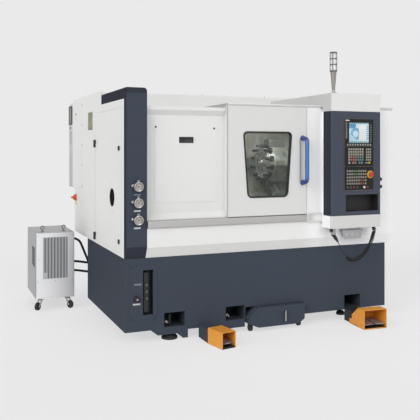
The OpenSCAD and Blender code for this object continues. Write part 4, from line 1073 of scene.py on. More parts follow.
bpy.data.objects.remove(tooth)
dressed(joined("window_rubber_teeth", teeth), "sliding_door", rubber, "gasket_rubber")
softened("door_window", 0, window_pane)
print(count, "teeth along", round(edge_length), "mm of rubber")

# %% Door handle
grip_blue = Finish("blue_grip", (58, 98, 168), 0.3, coat_weight=0.3)
_, _, height = grip_blue.axes()
middle = 1.269
from_middle = (height - middle).maths("ABSOLUTE")
# The grip is a darker blue towards its top and bottom ends.
darker_ends = (from_middle - 0.135).maths("MULTIPLY", 45.0).clamped()
grip_blue.set({"Base Color": grip_blue.mixed(darker_ends, (64, 108, 170), (40, 54, 118))})
grip_blue.bump(grip_blue.noise(0.002, 1), 0.00003, 0.4)
bar_x, grip_aside, grip_forward = 1380, 5, 3
grip_route = ((-50, 1100), (-66, 1100.5), (-80, 1103), (-92, 1109), (-101, 1119), (-105, 1131), (-106, 1145),
              (-106, 1269), (-106, 1393), (-105, 1407), (-101, 1419), (-92, 1429), (-80, 1435), (-66, 1437.5),
              (-50, 1438))
bow = [at(bar_x + grip_aside * (y < -80), y - grip_forward * (y < -80), z) for y, z in grip_route]
bar = bent_tube("door_grip", smooth_line(bow, 3), 0.0165, 24)
roses = [turned("door_rose_%d" % z, at(bar_x, -50, z), FRONT,
                [(0, 0), (0.021, 0), (0.0205, 0.004), (0.017, 0.007), (0, 0.007)], 32) for z in (1100, 1438)]
dressed(joined("door_handle_grip", [bar, *roses]), "sliding_door", grip_blue.material, "handle_blue",
        "door_handle")
# A light grey strip on the door, left of the grip.
grey_strip = moulded("handle_grey_strip", (176, 174, 173), 0.4, 0.00002)
dressed(plate("door_handle_grey_strip", at(1353, -52, 1103), at(1367, -50, 1437), 0.0008), "sliding_door",
        grey_strip,
        "rail_aluminium")
dressed(plate("door_top_seal", at(757, -47, 1673), at(1415, -24, 1678), 0.0008), "sliding_door", white_paint,
        "door_white")
door_edge = moulded("door_edge_seal", (112, 112, 113), 0.6)
dressed(plate("door_bottom_wiper", at(757, -51.4, 854.6), at(1415, -48, 860.5), 0.0006), "sliding_door",
        door_edge,
        "door_white")
# Painted shade: a grey strip down the door's left edge.
dressed(plate("door_left_edge_painted_shade", at(753.6, -51, 861), at(757.2, -44, 1670), 0.0006), "sliding_door",
        moulded("door_side_painted_shade", (166, 166, 167), 0.6), "door_white")
# Painted shade: the foot under the control box is a darker white, its left face darker still.
box_foot_painted_shade = powder_coat("box_foot_painted_shade_coat", (207, 207, 206), 0.45, 0.02, 0.00006, gloss=0.1)
print(also(skin_of["right_housing"], box_foot_painted_shade, lambda p, n: p.y < -70 and p.z < 860),
      "faces on the box's foot")
also(skin_of["right_housing"], powder_coat("box_foot_side_painted_shade", (184, 184, 184)),
     lambda p, n: n.x < -0.9 and p.y < -70 and p.z < 860)
print(also(skin_of["door_panel"], rubber, lambda p,
           n: abs(n.y) < 0.5 and 900 < p.x < 1290 and 950 < p.z < 1530),
      "faces round the window's edge")
fitted_plate("housing_top_seal", at(1998, -49, 1662), at(2217, -24, 1674.6), 0.0005, white_paint,
             "body_white")
dressed(plate("side_door_seal", at(-3, 100, 1646), at(-0.3, 900, 1655), 0.0006), body_of["side_door"],
        white_paint,
        "body_white")
dressed(sink(plate("rail_end_cover", at(1418, -62, 799), at(1550, -50, 868), 0.0025),
             lambda f: f.normal.y < -0.9 and f.area > 0.004, 0.004, 0.0002), "machine", white_paint,
             "body_white")
# Painted shade: a dark plate under the raised roof, left of the door.
fitted_plate("roof_slot_painted_shade", at(690, -6, 1629), at(748, -3, 1636), 0.0008, dark_parts_and_shade, "black_plastic")

# %% [markdown]
# ## Inside the machine
# Everything in the work room is coated with a film of coolant and fine chips, so the grey-green paint is
# blotchy and a little shiny. The turret disc is bare machined steel with turning marks, the tools are
# blackened.

# %% Machine room finishes
def grimy(name, colour, dirt, roughness=0.42, metallic=0.0):
    """Paint or metal under an uneven film of oil."""
    film = Finish(name, colour, roughness, metallic)
    blotches = film.noise(0.12, 5)
    runs = film.noise(0.05, 4, (1, 1, 0.25))
    amount = ((blotches + runs) * 1.6 - 1.15).clamped()
    film.set({"Base Color": film.mixed(amount, colour, dirt), "Roughness": roughness - amount * 0.15})
    film.bump(film.noise(0.004, 3), 0.0002, 0.5)
    return film.material


room_paint = grimy("oily_room_paint", (200, 200, 195), (152, 150, 138))
cast_paint = grimy("oily_cast_paint", (148, 150, 144), (92, 92, 82))
slide_steel = grimy("oiled_slide_steel", (128, 132, 132), (70, 70, 64), 0.34, 0.35)
black_oxide = moulded("black_oxide", (26, 27, 29), 0.4)

turret_y, turret_z, turret_front = 594.9, 1239.9, 1358
disc = Finish("turned_turret_steel", (158, 160, 156), 0.36, 0.45)
_, disc_y, disc_z = disc.axes()
disc_centre = at(0, turret_y, turret_z)
disc_y, disc_z = disc_y - disc_centre.y, disc_z - disc_centre.z
disc_radius = (disc_y * disc_y + disc_z * disc_z).maths("SQRT")
cuts = disc_radius.wave(0.004)
worn = (disc.noise(0.03, 4) * 2.2 - 0.8).clamped()
groove = disc_radius.between(0.078, 0.084)
disc.set({"Base Color": disc.mixed((worn * 0.6 + groove * 0.6).clamped(), (168, 170, 166), (84, 84, 78)),
          "Roughness": cuts * 0.08 + 0.42})
disc.bump(cuts, 0.00008, 0.5)
for node, width, material in (("chamber_liner", 1, room_paint), ("bed_casting", 2, cast_paint),
                              ("headstock", 3, cast_paint), ("carriage", 2, slide_steel),
                              ("cross_slide", 3, cast_paint), ("turret_disc", 1, disc.material),
                              ("tool_holders", 0.8, black_oxide), ("spindle", 1, turned_steel),
                              ("chuck_body", 1, turned_steel), ("jaw_1", 0.6, steel), ("jaw_2", 0.6, steel),
                              ("jaw_3", 0.6, steel)):
    skin_of[node] = softened(node, mm(width), material)
# Painted shade: the spindle's rear end is black rubber, so that the bar port looks dark inside.
also(skin_of["spindle"], rubber, lambda p, n: p.x < 64)
also(skin_of["side_frame"], room_paint, lambda p, n: p.x > 24 and n.x > 0.9)
also(skin_of["front_frame"], room_paint, lambda p, n: p.y > 24 and n.y > 0.9)
also(skin_of["door_panel"], room_paint, lambda p, n: n.y > 0.9)
also(skin_of["right_housing"], room_paint, lambda p, n: p.x < 2196 and n.x < -0.9 and p.y > 30)
motor_cover = plate("turret_motor_cover", at(1432, 604, 1336), at(1596, 706, 1444), 0.022)
dressed(motor_cover, body_of["cross_slide"], grimy("oily_motor_cover", (112, 113, 110), (74, 74, 70)),
        slot_of["cross_slide"])
print("Machine room:", room_paint.name, "on the walls and", disc.material.name, "on the turret")

# %% [markdown]
# The disc carries a stepped hub, a clamping bolt at each of its twelve stations, and a coolant jet beside
# each tool. One bolt is turned and copied round the hub by rotating a copy of its mesh.

# %% Turret details
def round_the_turret(piece, count, start=0.0):
    """Copies turned round the turret's axis."""
    name, copies = piece.name, [piece]
    centre = at(0, turret_y, turret_z)
    for k in range(1, count):
        twin = piece.copy()
        twin.data = piece.data.copy()
        twin.data.transform(Matrix.Translation(centre) @ Matrix.Rotation(math.tau * k / count, 4, "X")
                            @ Matrix.Translation(-centre))
        bpy.context.scene.collection.objects.link(twin)
        copies.append(twin)
    return joined(name, copies)


hub = [(0.0, 0.0), (0.052, 0.0), (0.052, 0.006), (0.047, 0.009), (0.036, 0.009), (0.034, 0.016),
       (0.026, 0.018),
       (0.014, 0.018), (0.012, 0.024), (0.0, 0.024)]
dressed(turned("turret_hub", at(turret_front, turret_y, turret_z), LEFT, hub, 48), "turret", steel,
        "bright_steel")
bolt = [(0.0, 0.0), (0.0115, 0.0), (0.0115, 0.005), (0.0095, 0.007), (0.006, 0.007), (0.006, 0.003),
        (0.0, 0.003)]
station = turned("turret_bolts", at(turret_front, turret_y, turret_z + 102), LEFT, bolt, 20)
dressed(round_the_turret(station, 12), "turret", steel, "bright_steel")
inner = [(0.0, 0.0), (0.0065, 0.0), (0.0065, 0.006), (0.004, 0.007), (0.0, 0.007)]
dressed(round_the_turret(turned("turret_hub_bolts", at(turret_front, turret_y + 16, turret_z + 60), LEFT,
                                inner, 6),
                         6), "turret", black_oxide, "black_plastic")
jet = rod("turret_jets", at(turret_front, turret_y + 26, turret_z + 112),
          at(turret_front - 16, turret_y + 26, turret_z + 118), 0.0045, 0.0006, 16, 0.002)
dressed(round_the_turret(jet, 12), "turret", turned_steel, "bright_steel")
print("Turret: hub, 12 station bolts, 6 hub bolts and 12 jets")

# %% [markdown]
# A long lamp over the door lights the work room. Its diffuser glows, and a real lamp in front of it does the
# lighting, because a small glowing face alone gives a grainy picture.

# %% Work light
glow = Finish("work_light_diffuser", (236, 240, 238), 0.5, emission_color=(0.9, 0.95, 0.92, 1),
              emission_strength=1.2)
glow.bump(glow.noise(0.003, 1), 0.0001)
fitted_plate("work_light_diffuser", at(900, 60, 1628), at(1260, 96, 1636), 0.002, glow.material, "lens_clear")
dressed(sink(plate("work_light_body", at(884, 52, 1634), at(1276, 104, 1662), 0.003),
             lambda f: f.normal.z < -0.9 and f.area > 0.01, 0.006, 0.001), "machine", grey_plastic,
             "cast_grey")
lamp_data = bpy.data.lights.new("work_light", "AREA")
lamp_data.shape = "RECTANGLE"
lamp_data.size, lamp_data.size_y = 0.9, 0.3
lamp_data.energy = 7
lamp_data.color = (0.96, 1.0, 0.94)
work_light = bpy.data.objects.new("work_light", lamp_data)
work_light.location = at(1150, 210, 1615)
work_light.rotation_euler = (math.radians(18), 0, 0)
bpy.context.scene.collection.objects.link(work_light)
print("Work light of", lamp_data.energy, "watts")

# %% [markdown]
# ## Control box
# The upright box turns the control towards the operator. Its front holds the screen with the keyboard under
# it, the operator's panel with the emergency stop, and an open bin for tools.

# %% Box and panels
def panel_finish(name, colour, edge_colour):
    """A printed film: nearly black, with thin lighter lines that group the keys."""
    film = Finish(name, colour, 0.4, specular_ior_level=0.25)
    x, _, z = film.axes()
    lines = ((z - 1.5855).maths("ABSOLUTE") < 0.0011) + ((z - 1.3745).maths("ABSOLUTE") < 0.0009)
    grain = film.noise(0.0008, 1)
    film.set({"Base Color": film.mixed(lines.clamped() * 0.6, colour, edge_colour),
              "Roughness": grain * 0.1 + 0.36})
    film.bump(grain, 0.00002, 0.5)
    return film.material


box_paint = powder_coat("control_box_coat", (70, 74, 87), 0.42, 0.04, 0.00006, gloss=0.15)
bin_painted_shade = moulded("bin_inside_painted_shade", (34, 30, 31), 0.6)
control = skin_of["control_box"]
control.data.materials[0] = box_paint
# Painted shade: the box's faces that turn to the left get a darker navy than its front.
control.data.materials[1] = powder_coat("control_box_side_painted_shade", (50, 55, 62), 0.6, 0.04, 0.0001, gloss=0.04)
# Painted shade: the inside of the tool bin is nearly black.
also(control, bin_painted_shade, lambda p, n: p.y > -186 and 1676 < p.x < 1977 and 876 < p.z < 1008)
also(control, black_plastic, lambda p, n: p.x > 1997.5)
film = panel_finish("keyboard_film", (26, 25, 24), (112, 110, 104))
skin_of["key_panel"] = softened("key_panel", 0.0006, film)
skin_of["operator_panel"] = softened("operator_panel", 0.0006, film)
estop_centre = Vector((1898, 0, 1159))
stop_yellow = moulded("stop_ring_yellow", (214, 162, 44), 0.36, 0.00002)
also(skin_of["operator_panel"], moulded("operator_key_caps", (140, 136, 128), 0.5, 0.00002),
     lambda p, n: p.y < -191.2 and 1082 < p.z < 1200 and p.x < 1866 and not abs(p.y + 191) < 0.15)
for name, colour, low, high in (("operator_red_caps", (136, 80, 74), (1795, 1070), (1845, 1130)),
                                ("operator_green_caps", (96, 132, 96), (1740, 1150), (1790, 1200))):
    also(skin_of["operator_panel"], moulded(name, colour, 0.5, 0.00002),
         lambda p, n, low=low, high=high: p.y < -191.2 and low[0] < p.x < high[0] and low[1] < p.z < high[1])
also(skin_of["operator_panel"], stop_yellow,
     lambda p, n: p.y < -191.5 and (Vector((p.x, 0, p.z)) - estop_centre).length < 32)
panel_rim = plate("panel_rim", at(1658, -190, 1036), at(1936, -186.6, 1591), 0.0012)
dressed(sink(panel_rim, lambda f: f.normal.y < -0.9 and f.area > 0.05, 0.006, 0.0006), "machine",
        moulded("panel_rim_grey", (72, 72, 74), 0.42), "panel_black")
print("Control box with", len(control.data.materials), "finishes")

# %% [markdown]
# The keys are small raised caps in printed colours. They are one construction piece, so the caps are
# coloured by where they are: main keys grey, a red and a green-blue group below, and coloured caps on the
# operator's panel.

# %% Keys and buttons
keys = softened("keypad", 0.0005, moulded("grey_key_caps", (158, 153, 143), 0.5, 0.00002))
caps = {
    "soft_key_white": ((168, 168, 164), lambda p: p.z > 1376),
    "red_group": ((150, 104, 96), lambda p: 1715 < p.x < 1768 and 1222 < p.z < 1300),
    "teal_group": ((92, 124, 124), lambda p: 1768 < p.x < 1828 and 1222 < p.z < 1300),
    "shadow_keys": ((58, 56, 53), lambda p: 1828 < p.x < 1850 and 1222 < p.z < 1300),
    "red_caps": ((140, 84, 76), lambda p: 1075 < p.z < 1200 and (
        (1740 < p.x < 1765 and p.z > 1150) or (1800 < p.x < 1822 and p.z < 1130))),
    "green_caps": ((92, 128, 92), lambda p: 1075 < p.z < 1200 and (
        (1762 < p.x < 1785 and p.z > 1170) or (1680 < p.x < 1702 and p.z < 1098))),
}
for name, (colour, test) in caps.items():
    also(keys, moulded(name, colour, 0.5, 0.00002), lambda p, n, test=test: test(p))


def button(name, x, z, colour, radius=8, y=-191, height=7, slot="key_grey"):
    r, h = mm(radius), mm(height)
    outline = [(0, 0), (1.2 * r, 0), (1.2 * r, 0.3 * h), (r, 0.42 * h), (r, 0.85 * h), (0.8 * r, h), (0, h)]
    shape = turned(name, at(x, y, z), FRONT, outline, 28)
    return dressed(shape, "machine", moulded(name + "_cap", colour, 0.38, 0.00002), slot)


for name, x, colour in (("power_button", 1690, (70, 74, 66)), ("mode_button", 1718, (76, 74, 70)),
                        ("stop_button", 1746, (128, 40, 40)), ("door_button", 1776, (66, 64, 62)),
                        ("start_button", 1842, (222, 226, 220)), ("hold_button", 1872, (126, 38, 40))):
    button(name, x, 1062, colour, 8)
button("yellow_button", 1888, 1250, (206, 178, 60), 7)
fitted_plate("card_slot", at(1852, -193, 1246), at(1876, -191, 1253), 0.0006, grey_plastic, "key_grey")
port_door = plate("port_door", at(1671, -196, 1434), at(1686, -191, 1560), 0.002)
dressed(sink(port_door, lambda f: f.normal.y < -0.9 and f.area > 0.001, 0.003, 0.0008), "machine",
        moulded("port_door_grey", (112, 110, 106), 0.45), "key_grey")
fitted_plate("panel_bare_label", at(1672, -191.8, 1569), at(1708, -191, 1578), 0.0002, label_film, "key_grey")
side_key = plate("screen_side_keys", at(1899, -193, 1408), at(1909, -191, 1418), 0.0008)
dressed(repeated(side_key, [(0, 0, mm(18 * i)) for i in range(1, 8)]), "machine",
        moulded("side_key_grey", (128, 126, 120), 0.5, 0.00002), "key_grey")
print("Keys in", len(keys.data.materials), "colours and", 8, "side keys")

# %% [markdown]
# The screen shows a plain made-up page: a pale table on the right, a soft blue sweep on the left, and bars
# of buttons at the edges. It is worked out from the place on the glass and glows a little, as a lit display
# does.

# %% Screen
screen_low, screen_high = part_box("screen")
page = Finish("lit_page", (200, 225, 235), 0.18)
x, _, z = page.axes()
across = (x - screen_low.x) * (1 / (screen_high.x - screen_low.x))
upright = (z - screen_low.z) * (1 / (screen_high.z - screen_low.z))
sweep_x, sweep_z = across - 0.34, (upright - 0.44) * 0.8
sweep = (sweep_x * sweep_x + sweep_z * sweep_z).maths("SQRT")
ring = sweep.between(0.13, 0.25) * (across < 0.52) * (upright + across * 0.9 > 0.5)
corner = (across < 0.36) * (upright > 0.72) * (upright - across > 0.45)
colour = page.mixed(across, (176, 214, 232), (232, 240, 242))
colour = page.mixed(ring.clamped() * 0.7, colour, (74, 142, 190))
colour = page.mixed(corner * 0.8, colour, (58, 124, 176))
table = across.between(0.5, 0.84) * upright.between(0.16, 0.86)
rows = (upright.wave(0.09) > 0.8) * table
colour = page.mixed(table * 0.85, colour, (240, 244, 242))
colour = page.mixed(rows * 0.35, colour, (206, 150, 156))
side = across.between(0.87, 0.985) * upright.between(0.12, 0.9)
side_gaps = upright.wave(0.11) > 0.25
colour = page.mixed(side * side_gaps * 0.8, colour, (104, 164, 206))
bars = ((upright > 0.925) + (upright < 0.075)).clamped()
bar_marks = (across.wave(0.1) > 0.35)
colour = page.mixed(bars * 0.85, colour, (70, 150, 164))
colour = page.mixed(bars * bar_marks * 0.5, colour, (206, 226, 228))
page.set({"Base Color": page.mixed(0.9, colour, (20, 24, 26)), "Emission Color": colour,
          "Emission Strength": 0.82,
          "Roughness": page.noise(0.02, 2) * 0.06 + 0.12})
glass = softened("screen", 0, page.material)
bezel = plate("screen_bezel", at(1697, -193, 1396), at(1892, -190.4, 1563), 0.001)
pick(bezel, lambda f: abs(f.normal.y) > 0.9 and f.area > 0.02)
bpy.ops.mesh.inset(thickness=0.006)
bpy.ops.mesh.bridge_edge_loops()
bpy.ops.object.mode_set(mode="OBJECT")
dressed(bezel, "machine", moulded("bezel_black", (20, 20, 21), 0.4), "panel_black")
print("Screen", round((screen_high.x - screen_low.x) * 1000), "mm wide")

# %% Emergency stop
side_knob = [(0.0, 0.0), (0.013, 0.0), (0.015, 0.003), (0.015, 0.022), (0.0125, 0.028), (0.006, 0.0295),
             (0.0, 0.0295)]
for z in (1120, 1062):
    fitted_turned("side_knob_%d" % z, at(1997, -160, z), (1, 0, 0), side_knob, 32, black_plastic,
                  "black_plastic")
stop_red = moulded("stop_red", (190, 56, 34), 0.32, 0.00002)
softened("estop_button", 0.0012, stop_red)
collar = [(0.0165, 0.0), (0.0225, 0.0), (0.0225, 0.004), (0.0205, 0.0075), (0.0165, 0.0075), (0.0165, 0.0)]
fitted_turned("stop_collar", at(1898, -194, 1159), FRONT, collar, 40, stop_yellow, "switch_orange")
print("Emergency stop with its yellow collar")

# %% [markdown]
# ## Connector, bracket and signal lamp
# The cable leaves through an angled metal connector with a screw cap hanging beside it. On the roof stands
# a slim signal lamp: a clear tube in a dark cage on a tapered metal stem.

# %% Connector and strain reliefs
socket = softened("cable_socket", 0.0008, turned_steel)
also(socket, black_plastic, lambda p, n: p.z < 716 or p.z > 744)
nut = [(0.0, 0.0), (0.0195, 0.0), (0.0195, 0.010), (0.018, 0.012), (0.0, 0.012)]
fitted_turned("connector_nut", at(1610, -120, 752), (0, 0, -1), nut, 6, steel, "bright_steel")
cap = [(0.0, 0.0), (0.013, 0.0), (0.0145, 0.002), (0.0145, 0.014), (0.012, 0.017), (0.0, 0.017)]
fitted_turned("connector_cap", at(1596, -124, 733), LEFT, cap, 24, black_plastic, "black_plastic")
relief_line = (lead_line[1] - lead_line[0]).normalized()
relief = [(0.0, -0.004), (0.0115, -0.004), (0.0115, 0.004), (0.009, 0.010), (0.0072, 0.020), (0.0055, 0.030),
          (0.0, 0.030)]
fitted_turned("lead_strain_relief", lead_line[0], relief_line, relief, 28, rubber, "hose_black")
box_relief = [(0.0, -0.001), (0.0175, -0.001), (0.0175, 0.006), (0.015, 0.008), (0.0125, 0.020),
              (0.010, 0.030),
              (0.0, 0.030)]
fitted_turned("box_strain_relief", at(1981, -120, 752), (0, 0, -1), box_relief, 28, rubber, "hose_black")
holes = [turned("hole", at(x, -66.4, 688), FRONT, [(0, 0), (0.0148, 0), (0.0148, 0.002), (0, 0.002)], 32)
         for x in (1772, 1820, 1868)]
dressed(joined("bracket_hole_fillers", holes), "machine", label_film, "body_white")
screws("bracket_screws", [(x, -44, 734) for x in (1745, 1820, 1895)], FRONT, 5, steel)
print("Connector, cap and strain reliefs")

# %% Signal lamp
stem_metal = worked_metal("lamp_stem_metal", (166, 163, 159), 0.36, (1, 1, 0.05))
stem = softened("lamp_stem", 0.0006, stem_metal)
cage_grey = moulded("lamp_cage", (96, 94, 94), 0.4)
also(stem, cage_grey, lambda p, n: p.z > 1944)
lens = softened("lamp_lens", 0.0008, lamp_clear)
core = [(0.0, 0.0), (0.014, 0.0), (0.014, 0.034), (0.0125, 0.036), (0.014, 0.038), (0.014, 0.078),
        (0.0125, 0.080),
        (0.014, 0.082), (0.014, 0.128), (0.011, 0.132), (0.0, 0.132)]
diffuser = Finish("lamp_diffuser", (238, 240, 242), 0.4, emission_color=(0.9, 0.94, 1, 1),
                  emission_strength=0.25)
diffuser.bump(diffuser.noise(0.002, 1), 0.0001)
fitted_turned("lamp_core", at(1600, -137, 1950), UP, core, 32, diffuser.material, "lens_clear")
ring_outline = [(0.0235, 0.0), (0.0285, 0.0), (0.0285, 0.006), (0.0235, 0.006), (0.0235, 0.0)]
for z in (1948, 1996, 2040):
    fitted_turned("lamp_ring_%d" % z, at(1600, -137, z), UP, ring_outline, 40, cage_grey, "cast_grey")
dome = [(0.0, 0.0), (0.028, 0.0), (0.026, 0.004), (0.016, 0.0065), (0.0, 0.0068)]
foot = [(0.0, 0.0), (0.030, 0.0), (0.030, 0.003), (0.027, 0.005), (0.0, 0.005)]
fitted_turned("lamp_foot", at(1600, -137, 1780), UP, foot, 40, cage_grey, "cast_grey")
print("Signal lamp, a core in", len(core), "steps")

# %% [markdown]
# ## Chiller
# The oil chiller is a silver-painted box on castors. Air goes in through a dark louvred grille on its front
# and out through slots in its side.

# %% Chiller
chiller_low, chiller_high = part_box("chiller_body")
silver = Finish("silver_sheet_painted_shade", (236, 236, 238), 0.42, specular_ior_level=0.3)
x, _, z = silver.axes()
# Painted shade: the silver is painted darker towards the chiller's right end.
to_right = ((x - chiller_low.x) * (1 / (chiller_high.x - chiller_low.x))).clamped()
fine = silver.noise(0.0012, 1)
silver.set({"Base Color": silver.mixed(to_right * to_right, (238, 238, 240), (190, 190, 192)),
            "Roughness": fine * 0.1 + 0.36})
silver.bump(fine, 0.00004, 0.5)
chiller_side_painted_shade = powder_coat("chiller_side_painted_shade_paint", (156, 156, 158), 0.45)
chiller = softened("chiller_body", 0, silver.material)
take(chiller)
for height, upward in ((650.2, 1), (100, -1)):
    bpy.ops.object.mode_set(mode="EDIT")
    bpy.ops.mesh.select_all(action="SELECT")
    bpy.ops.mesh.bisect(plane_co=at(0, 0, height), plane_no=(0, 0, upward), clear_outer=True, use_fill=True)
    bpy.ops.object.mode_set(mode="OBJECT")
soften(chiller, 0.003)
# Painted shade: the chiller's left side is a darker grey, its side slots are near black, and its top is a
# darker grey.
also(chiller, chiller_side_painted_shade, lambda p, n: n.x < -0.9 and p.x < -429.5)
also(chiller, dark_parts_and_shade, lambda p, n: -429.6 < p.x < -419 and 350 < p.z < 525)
also(chiller, moulded("chiller_top_painted_shade", (160, 160, 162), 0.5), lambda p, n: n.z > 0.9 and p.z > 640)

grille_steel = Finish("louvred_steel_painted_shade", (150, 152, 154), 0.45)
x, _, z = grille_steel.axes()
# Painted shade: the slots between the louvres are painted dark, in bands that follow the louvres; the lighter
# patches are dust.
columns = ((x - at(-367, 0, 0).x) * (math.tau / 0.0262)).maths("COSINE") * -1
slots = ((columns + 0.1) * 4).clamped()
lines = (z.wave(0.0095) * 1.6 - 0.5).clamped()
dust = grille_steel.noise(0.03, 3)
tone = grille_steel.mixed(slots * (lines * 0.5 + 0.5), (170, 172, 174), (58, 60, 62))
grille_steel.set({"Base Color": grille_steel.mixed(dust * 0.25, tone, (140, 141, 142)),
                  "Roughness": lines * 0.1 + 0.4})
grille_steel.bump(slots * lines, 0.0006, 0.5)
softened("chiller_grille", 0.0005, grille_steel.material)
fitted_plate("chiller_louvres", at(-370, 1218.4, 262), at(-160, 1219.6, 614), 0.0003, grille_steel.material,
             "grille_dark")
front_panel = plate("chiller_front_panel", at(-424, 1216.8, 236), at(-116, 1219.8, 642), 0)
pick(front_panel, lambda f: f.normal.y < -0.9)
bpy.ops.mesh.inset(thickness=0.03)
bpy.ops.transform.resize(value=(204 / 248, 1, 1), center_override=at(-266, 1216.8, 438))
bpy.ops.mesh.extrude_region_move(TRANSFORM_OT_translate={"value": (0, 0.0024, 0)})
bpy.ops.mesh.delete(type="FACE")
bpy.ops.object.mode_set(mode="OBJECT")
dressed(soften(front_panel, 0.0008), "machine", silver.material, "chiller_grey")
fitted_plate("chiller_lower_panel", at(-424, 1217.6, 108), at(-116, 1219.8, 231), 0.0008, silver.material,
             "chiller_grey")
fitted_plate("chiller_bare_label", at(-364, 1217.8, 268), at(-336, 1218.6, 318), 0.0003,
             moulded("chiller_label_film", (204, 205, 206), 0.45, 0.00001), "chiller_grey")
screws("chiller_screws", [(x, 1216.8, z) for x in (-414,
                                                   -124) for z in (246, 430, 630)] + [(-268, 1216.8, 246)],
       FRONT, 3.5, grey_plastic)
print("Chiller", round((chiller_high.z - chiller_low.z) * 1000), "mm high")

# %% [markdown]
# The chiller stands on four swivelling castors and is lifted by two eye bolts. A castor is a fork round a
# wheel, and its wheel trails behind the swivel, so each of them points its own way after the chiller was
# pushed in.

# %% Castors and lifting eyes
def castor(name, x, y, towards):
    """A swivel castor under a plate at this place, with its wheel trailing along this angle in degrees."""
    trail = Vector((math.cos(math.radians(towards)), math.sin(math.radians(towards)), 0))
    axle = trail.cross(Vector((0, 0, 1)))
    top, wheel_centre = at(x, y, 99.5), at(x, y, 33) + trail * 0.036
    tyre = [(0.0, -0.013), (0.014, -0.013), (0.016, -0.011), (0.029, -0.012), (0.033, -0.008), (0.033, 0.008),
            (0.029, 0.012), (0.016, 0.011), (0.014, 0.013), (0.0, 0.013)]
    wheel = turned(name + "_wheel", wheel_centre, axle, tyre, 28)
    dressed(wheel, "machine", rubber, "black_plastic")
    hub = [(0.0, -0.0165), (0.0075, -0.0165), (0.0075, 0.0165), (0.0, 0.0165)]
    hub = turned("hub", wheel_centre, axle, hub, 6)
    race = turned("race", at(x, y, 82), UP, [(0, 0), (0.024, 0), (0.026, 0.004), (0.021, 0.012), (0, 0.012)],
                  28)
    flange = plate("flange", top - Vector((0.032, 0.028, 0.005)), top + Vector((0.032, 0.028, 0)), 0.001)
    cheeks = []
    for side in (-1, 1):
        bpy.ops.object.select_all(action="DESELECT")
        bpy.ops.mesh.primitive_cube_add(size=1, location=(0, 0, 0))
        cheek = bpy.context.object
        cheek.scale = (0.03, 0.0024, 0.062)
        settle("cheek")
        pick(cheek, lambda f: f.normal.z < -0.9)
        bpy.ops.transform.resize(value=(0.55, 1, 1), center_override=(0, 0, -0.031))
        bpy.ops.transform.translate(value=(0.03, 0, 0.004))
        bpy.ops.object.mode_set(mode="OBJECT")
        turn = Matrix((trail, axle * -1, Vector((0, 0, 1)))).transposed().to_4x4()
        cheek.data.transform(Matrix.Translation(at(x, y, 58) + axle * 0.0155 * side) @ turn)
        cheeks.append(soften(cheek, 0.0006))
    dressed(joined(name + "_fork", [race, flange, hub, *cheeks]), "machine", steel, "bright_steel")


for name, x, y, towards in (("castor_front_left", -384, 1282, -135), ("castor_front_right", -158, 1272, -62),
                            ("castor_rear_left", -366, 1700, 20), ("castor_rear_right", -158, 1690, 60)):
    castor(name, x, y, towards)
for word, x in (("left", -360), ("right", -180)):
    bpy.ops.object.select_all(action="DESELECT")
    bpy.ops.mesh.primitive_torus_add(major_radius=0.0145, minor_radius=0.0042, major_segments=32,
                                     minor_segments=12,
                                     location=at(x, 1340, 683), rotation=(math.pi / 2, 0, 0))
    eye = settle("eye")
    foot = turned("foot", at(x, 1340, 650), UP,
                  [(0, 0), (0.016, 0), (0.016, 0.004), (0.007, 0.006), (0.006, 0.02),
                                                 (0, 0.02)], 24)
    dressed(joined("lifting_eye_" + word, [eye, foot]), "machine", gauge_metal, "bright_steel")
print("Four castors and two lifting eyes")

# %% [markdown]
# ## Foot pedals
# Both pedals are steel treadles under orange safety hoods, so that nothing can fall on them. The hood is
# scuffed along its lower edge, the treadle has raised ribs for grip, and the whole sits on a black rubber
# plate.

# %% Pedals
def hood_paint(name):
    """Bright orange enamel, scuffed near the floor."""
    enamel = Finish(name, (236, 160, 62), 0.4, specular_ior_level=0.3)
    _, _, z = enamel.axes()
    scuffs = (enamel.noise(0.012, 4) * 2.4 - 1.25 - z * 4.0).clamped()
    mottle = enamel.noise(0.03, 3)
    colour = enamel.mixed(mottle, (232, 162, 54), (216, 140, 56))
    enamel.set({"Base Color": enamel.mixed(scuffs, colour, (150, 120, 84)),
                "Roughness": enamel.noise(0.0015, 1) * 0.12 + 0.36})
    enamel.bump(enamel.noise(0.0015, 1), 0.00006, 0.5)
    return enamel.material


def ribbed_steel(name):
    """Grey cast treadle with ribs across it."""
    metal = Finish(name, (150, 144, 142), 0.45, 0.4)
    _, y, _ = metal.axes()
    ribs = y.wave(0.011)
    metal.set({"Base Color": metal.mixed(ribs, (108, 102, 100), (176, 172, 170)),
               "Roughness": 0.5 - ribs * 0.12})
    metal.bump(ribs, 0.0012, 0.8)
    return metal.material


orange = hood_paint("hood_orange")
ribbed = ribbed_steel("ribbed_treadle")
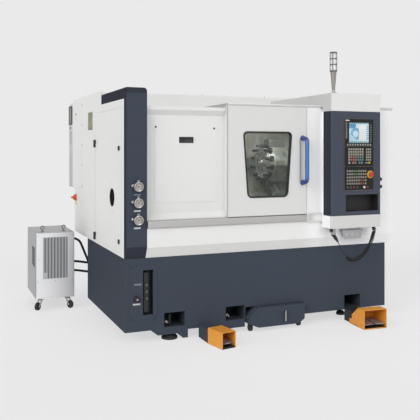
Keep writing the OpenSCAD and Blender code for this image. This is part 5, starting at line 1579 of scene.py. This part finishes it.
# Painted light: the undersides inside the hoods' front openings are painted a light orange, so that they read
# bright.
inner_orange_painted_light = powder_coat("hood_inside_painted_light", (246, 148, 90), 0.55, 0.1, gloss=0.2)
for node in ("pedal_single", "pedal_double"):
    pedal = softened(node, 0.0015, orange)
    low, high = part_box(node)
    also(pedal, inner_orange_painted_light, lambda p, n: p.z > 12 and p.y < -60 and n.z < -0.3)
    also(pedal, rubber, lambda p, n: p.z < 10.5)
    arm = navy_paint if node == "pedal_single" else dark_parts_and_shade
    also(pedal, arm, lambda p, n: p.y > (-176 if p.x < 700 else -128) and p.z < 96)
    skin_of[node] = pedal
for node in ("treadle_single", "treadle_left", "treadle_right"):
    softened(node, 0.001, ribbed)

# %% [markdown]
# ## Base
# The machine stands on black pads with levelling screws, reached through pockets in the base. The coolant
# tank rolls out on small castors by its chrome bow handle.

# %% Feet and tank
feet = softened("levelling_feet", 0.001, rubber)
pick(feet, lambda f: f.center.x > at(1780, 0, 0).x and f.center.y < at(0, 400, 0).y and f.center.z < 0.04)
chosen = [f.center for f in feet.data.polygons if f.select]
bpy.ops.transform.resize(value=(0.6, 0.6, 1), center_override=sum(chosen, Vector()) / max(1, len(chosen)))
bpy.ops.object.mode_set(mode="OBJECT")
print("The front right foot's pad is smaller,", len(chosen), "faces")
tank = skin_of["coolant_tank"]
also(tank, chrome, lambda p, n: p.y < -50.5)
also(tank, rubber, lambda p, n: p.z < 58 and p.y > -40 and (abs(p.x - 960) < 15 or abs(p.x - 1370) < 15))
fitted_plate("kick_strip_left", at(462, 0, 65), at(700, 5, 84.5), 0.001, navy_paint, "base_navy")
fitted_plate("kick_strip", at(630, -0.4, 36), at(917, 5, 84.5), 0.001, navy_paint, "base_navy")
lid = plate("tank_lid", at(998, -49.5, 170), at(1398, 8, 177.5), 0.0015)
dressed(lid, "coolant_tank", navy_paint, "base_navy")
jack_bolt = [(0.0, 0.0), (0.017, 0.0), (0.017, 0.010), (0.009, 0.011), (0.009, 0.024), (0.007, 0.026),
             (0.0, 0.026)]
for number, x in enumerate((318, 796), 1):
    fitted_turned("jack_bolt_%d" % number, at(x, 60, 118), (0.3, -1, -0.15), jack_bolt, 24, steel,
                  "bright_steel")
print("Feet and tank are dressed")
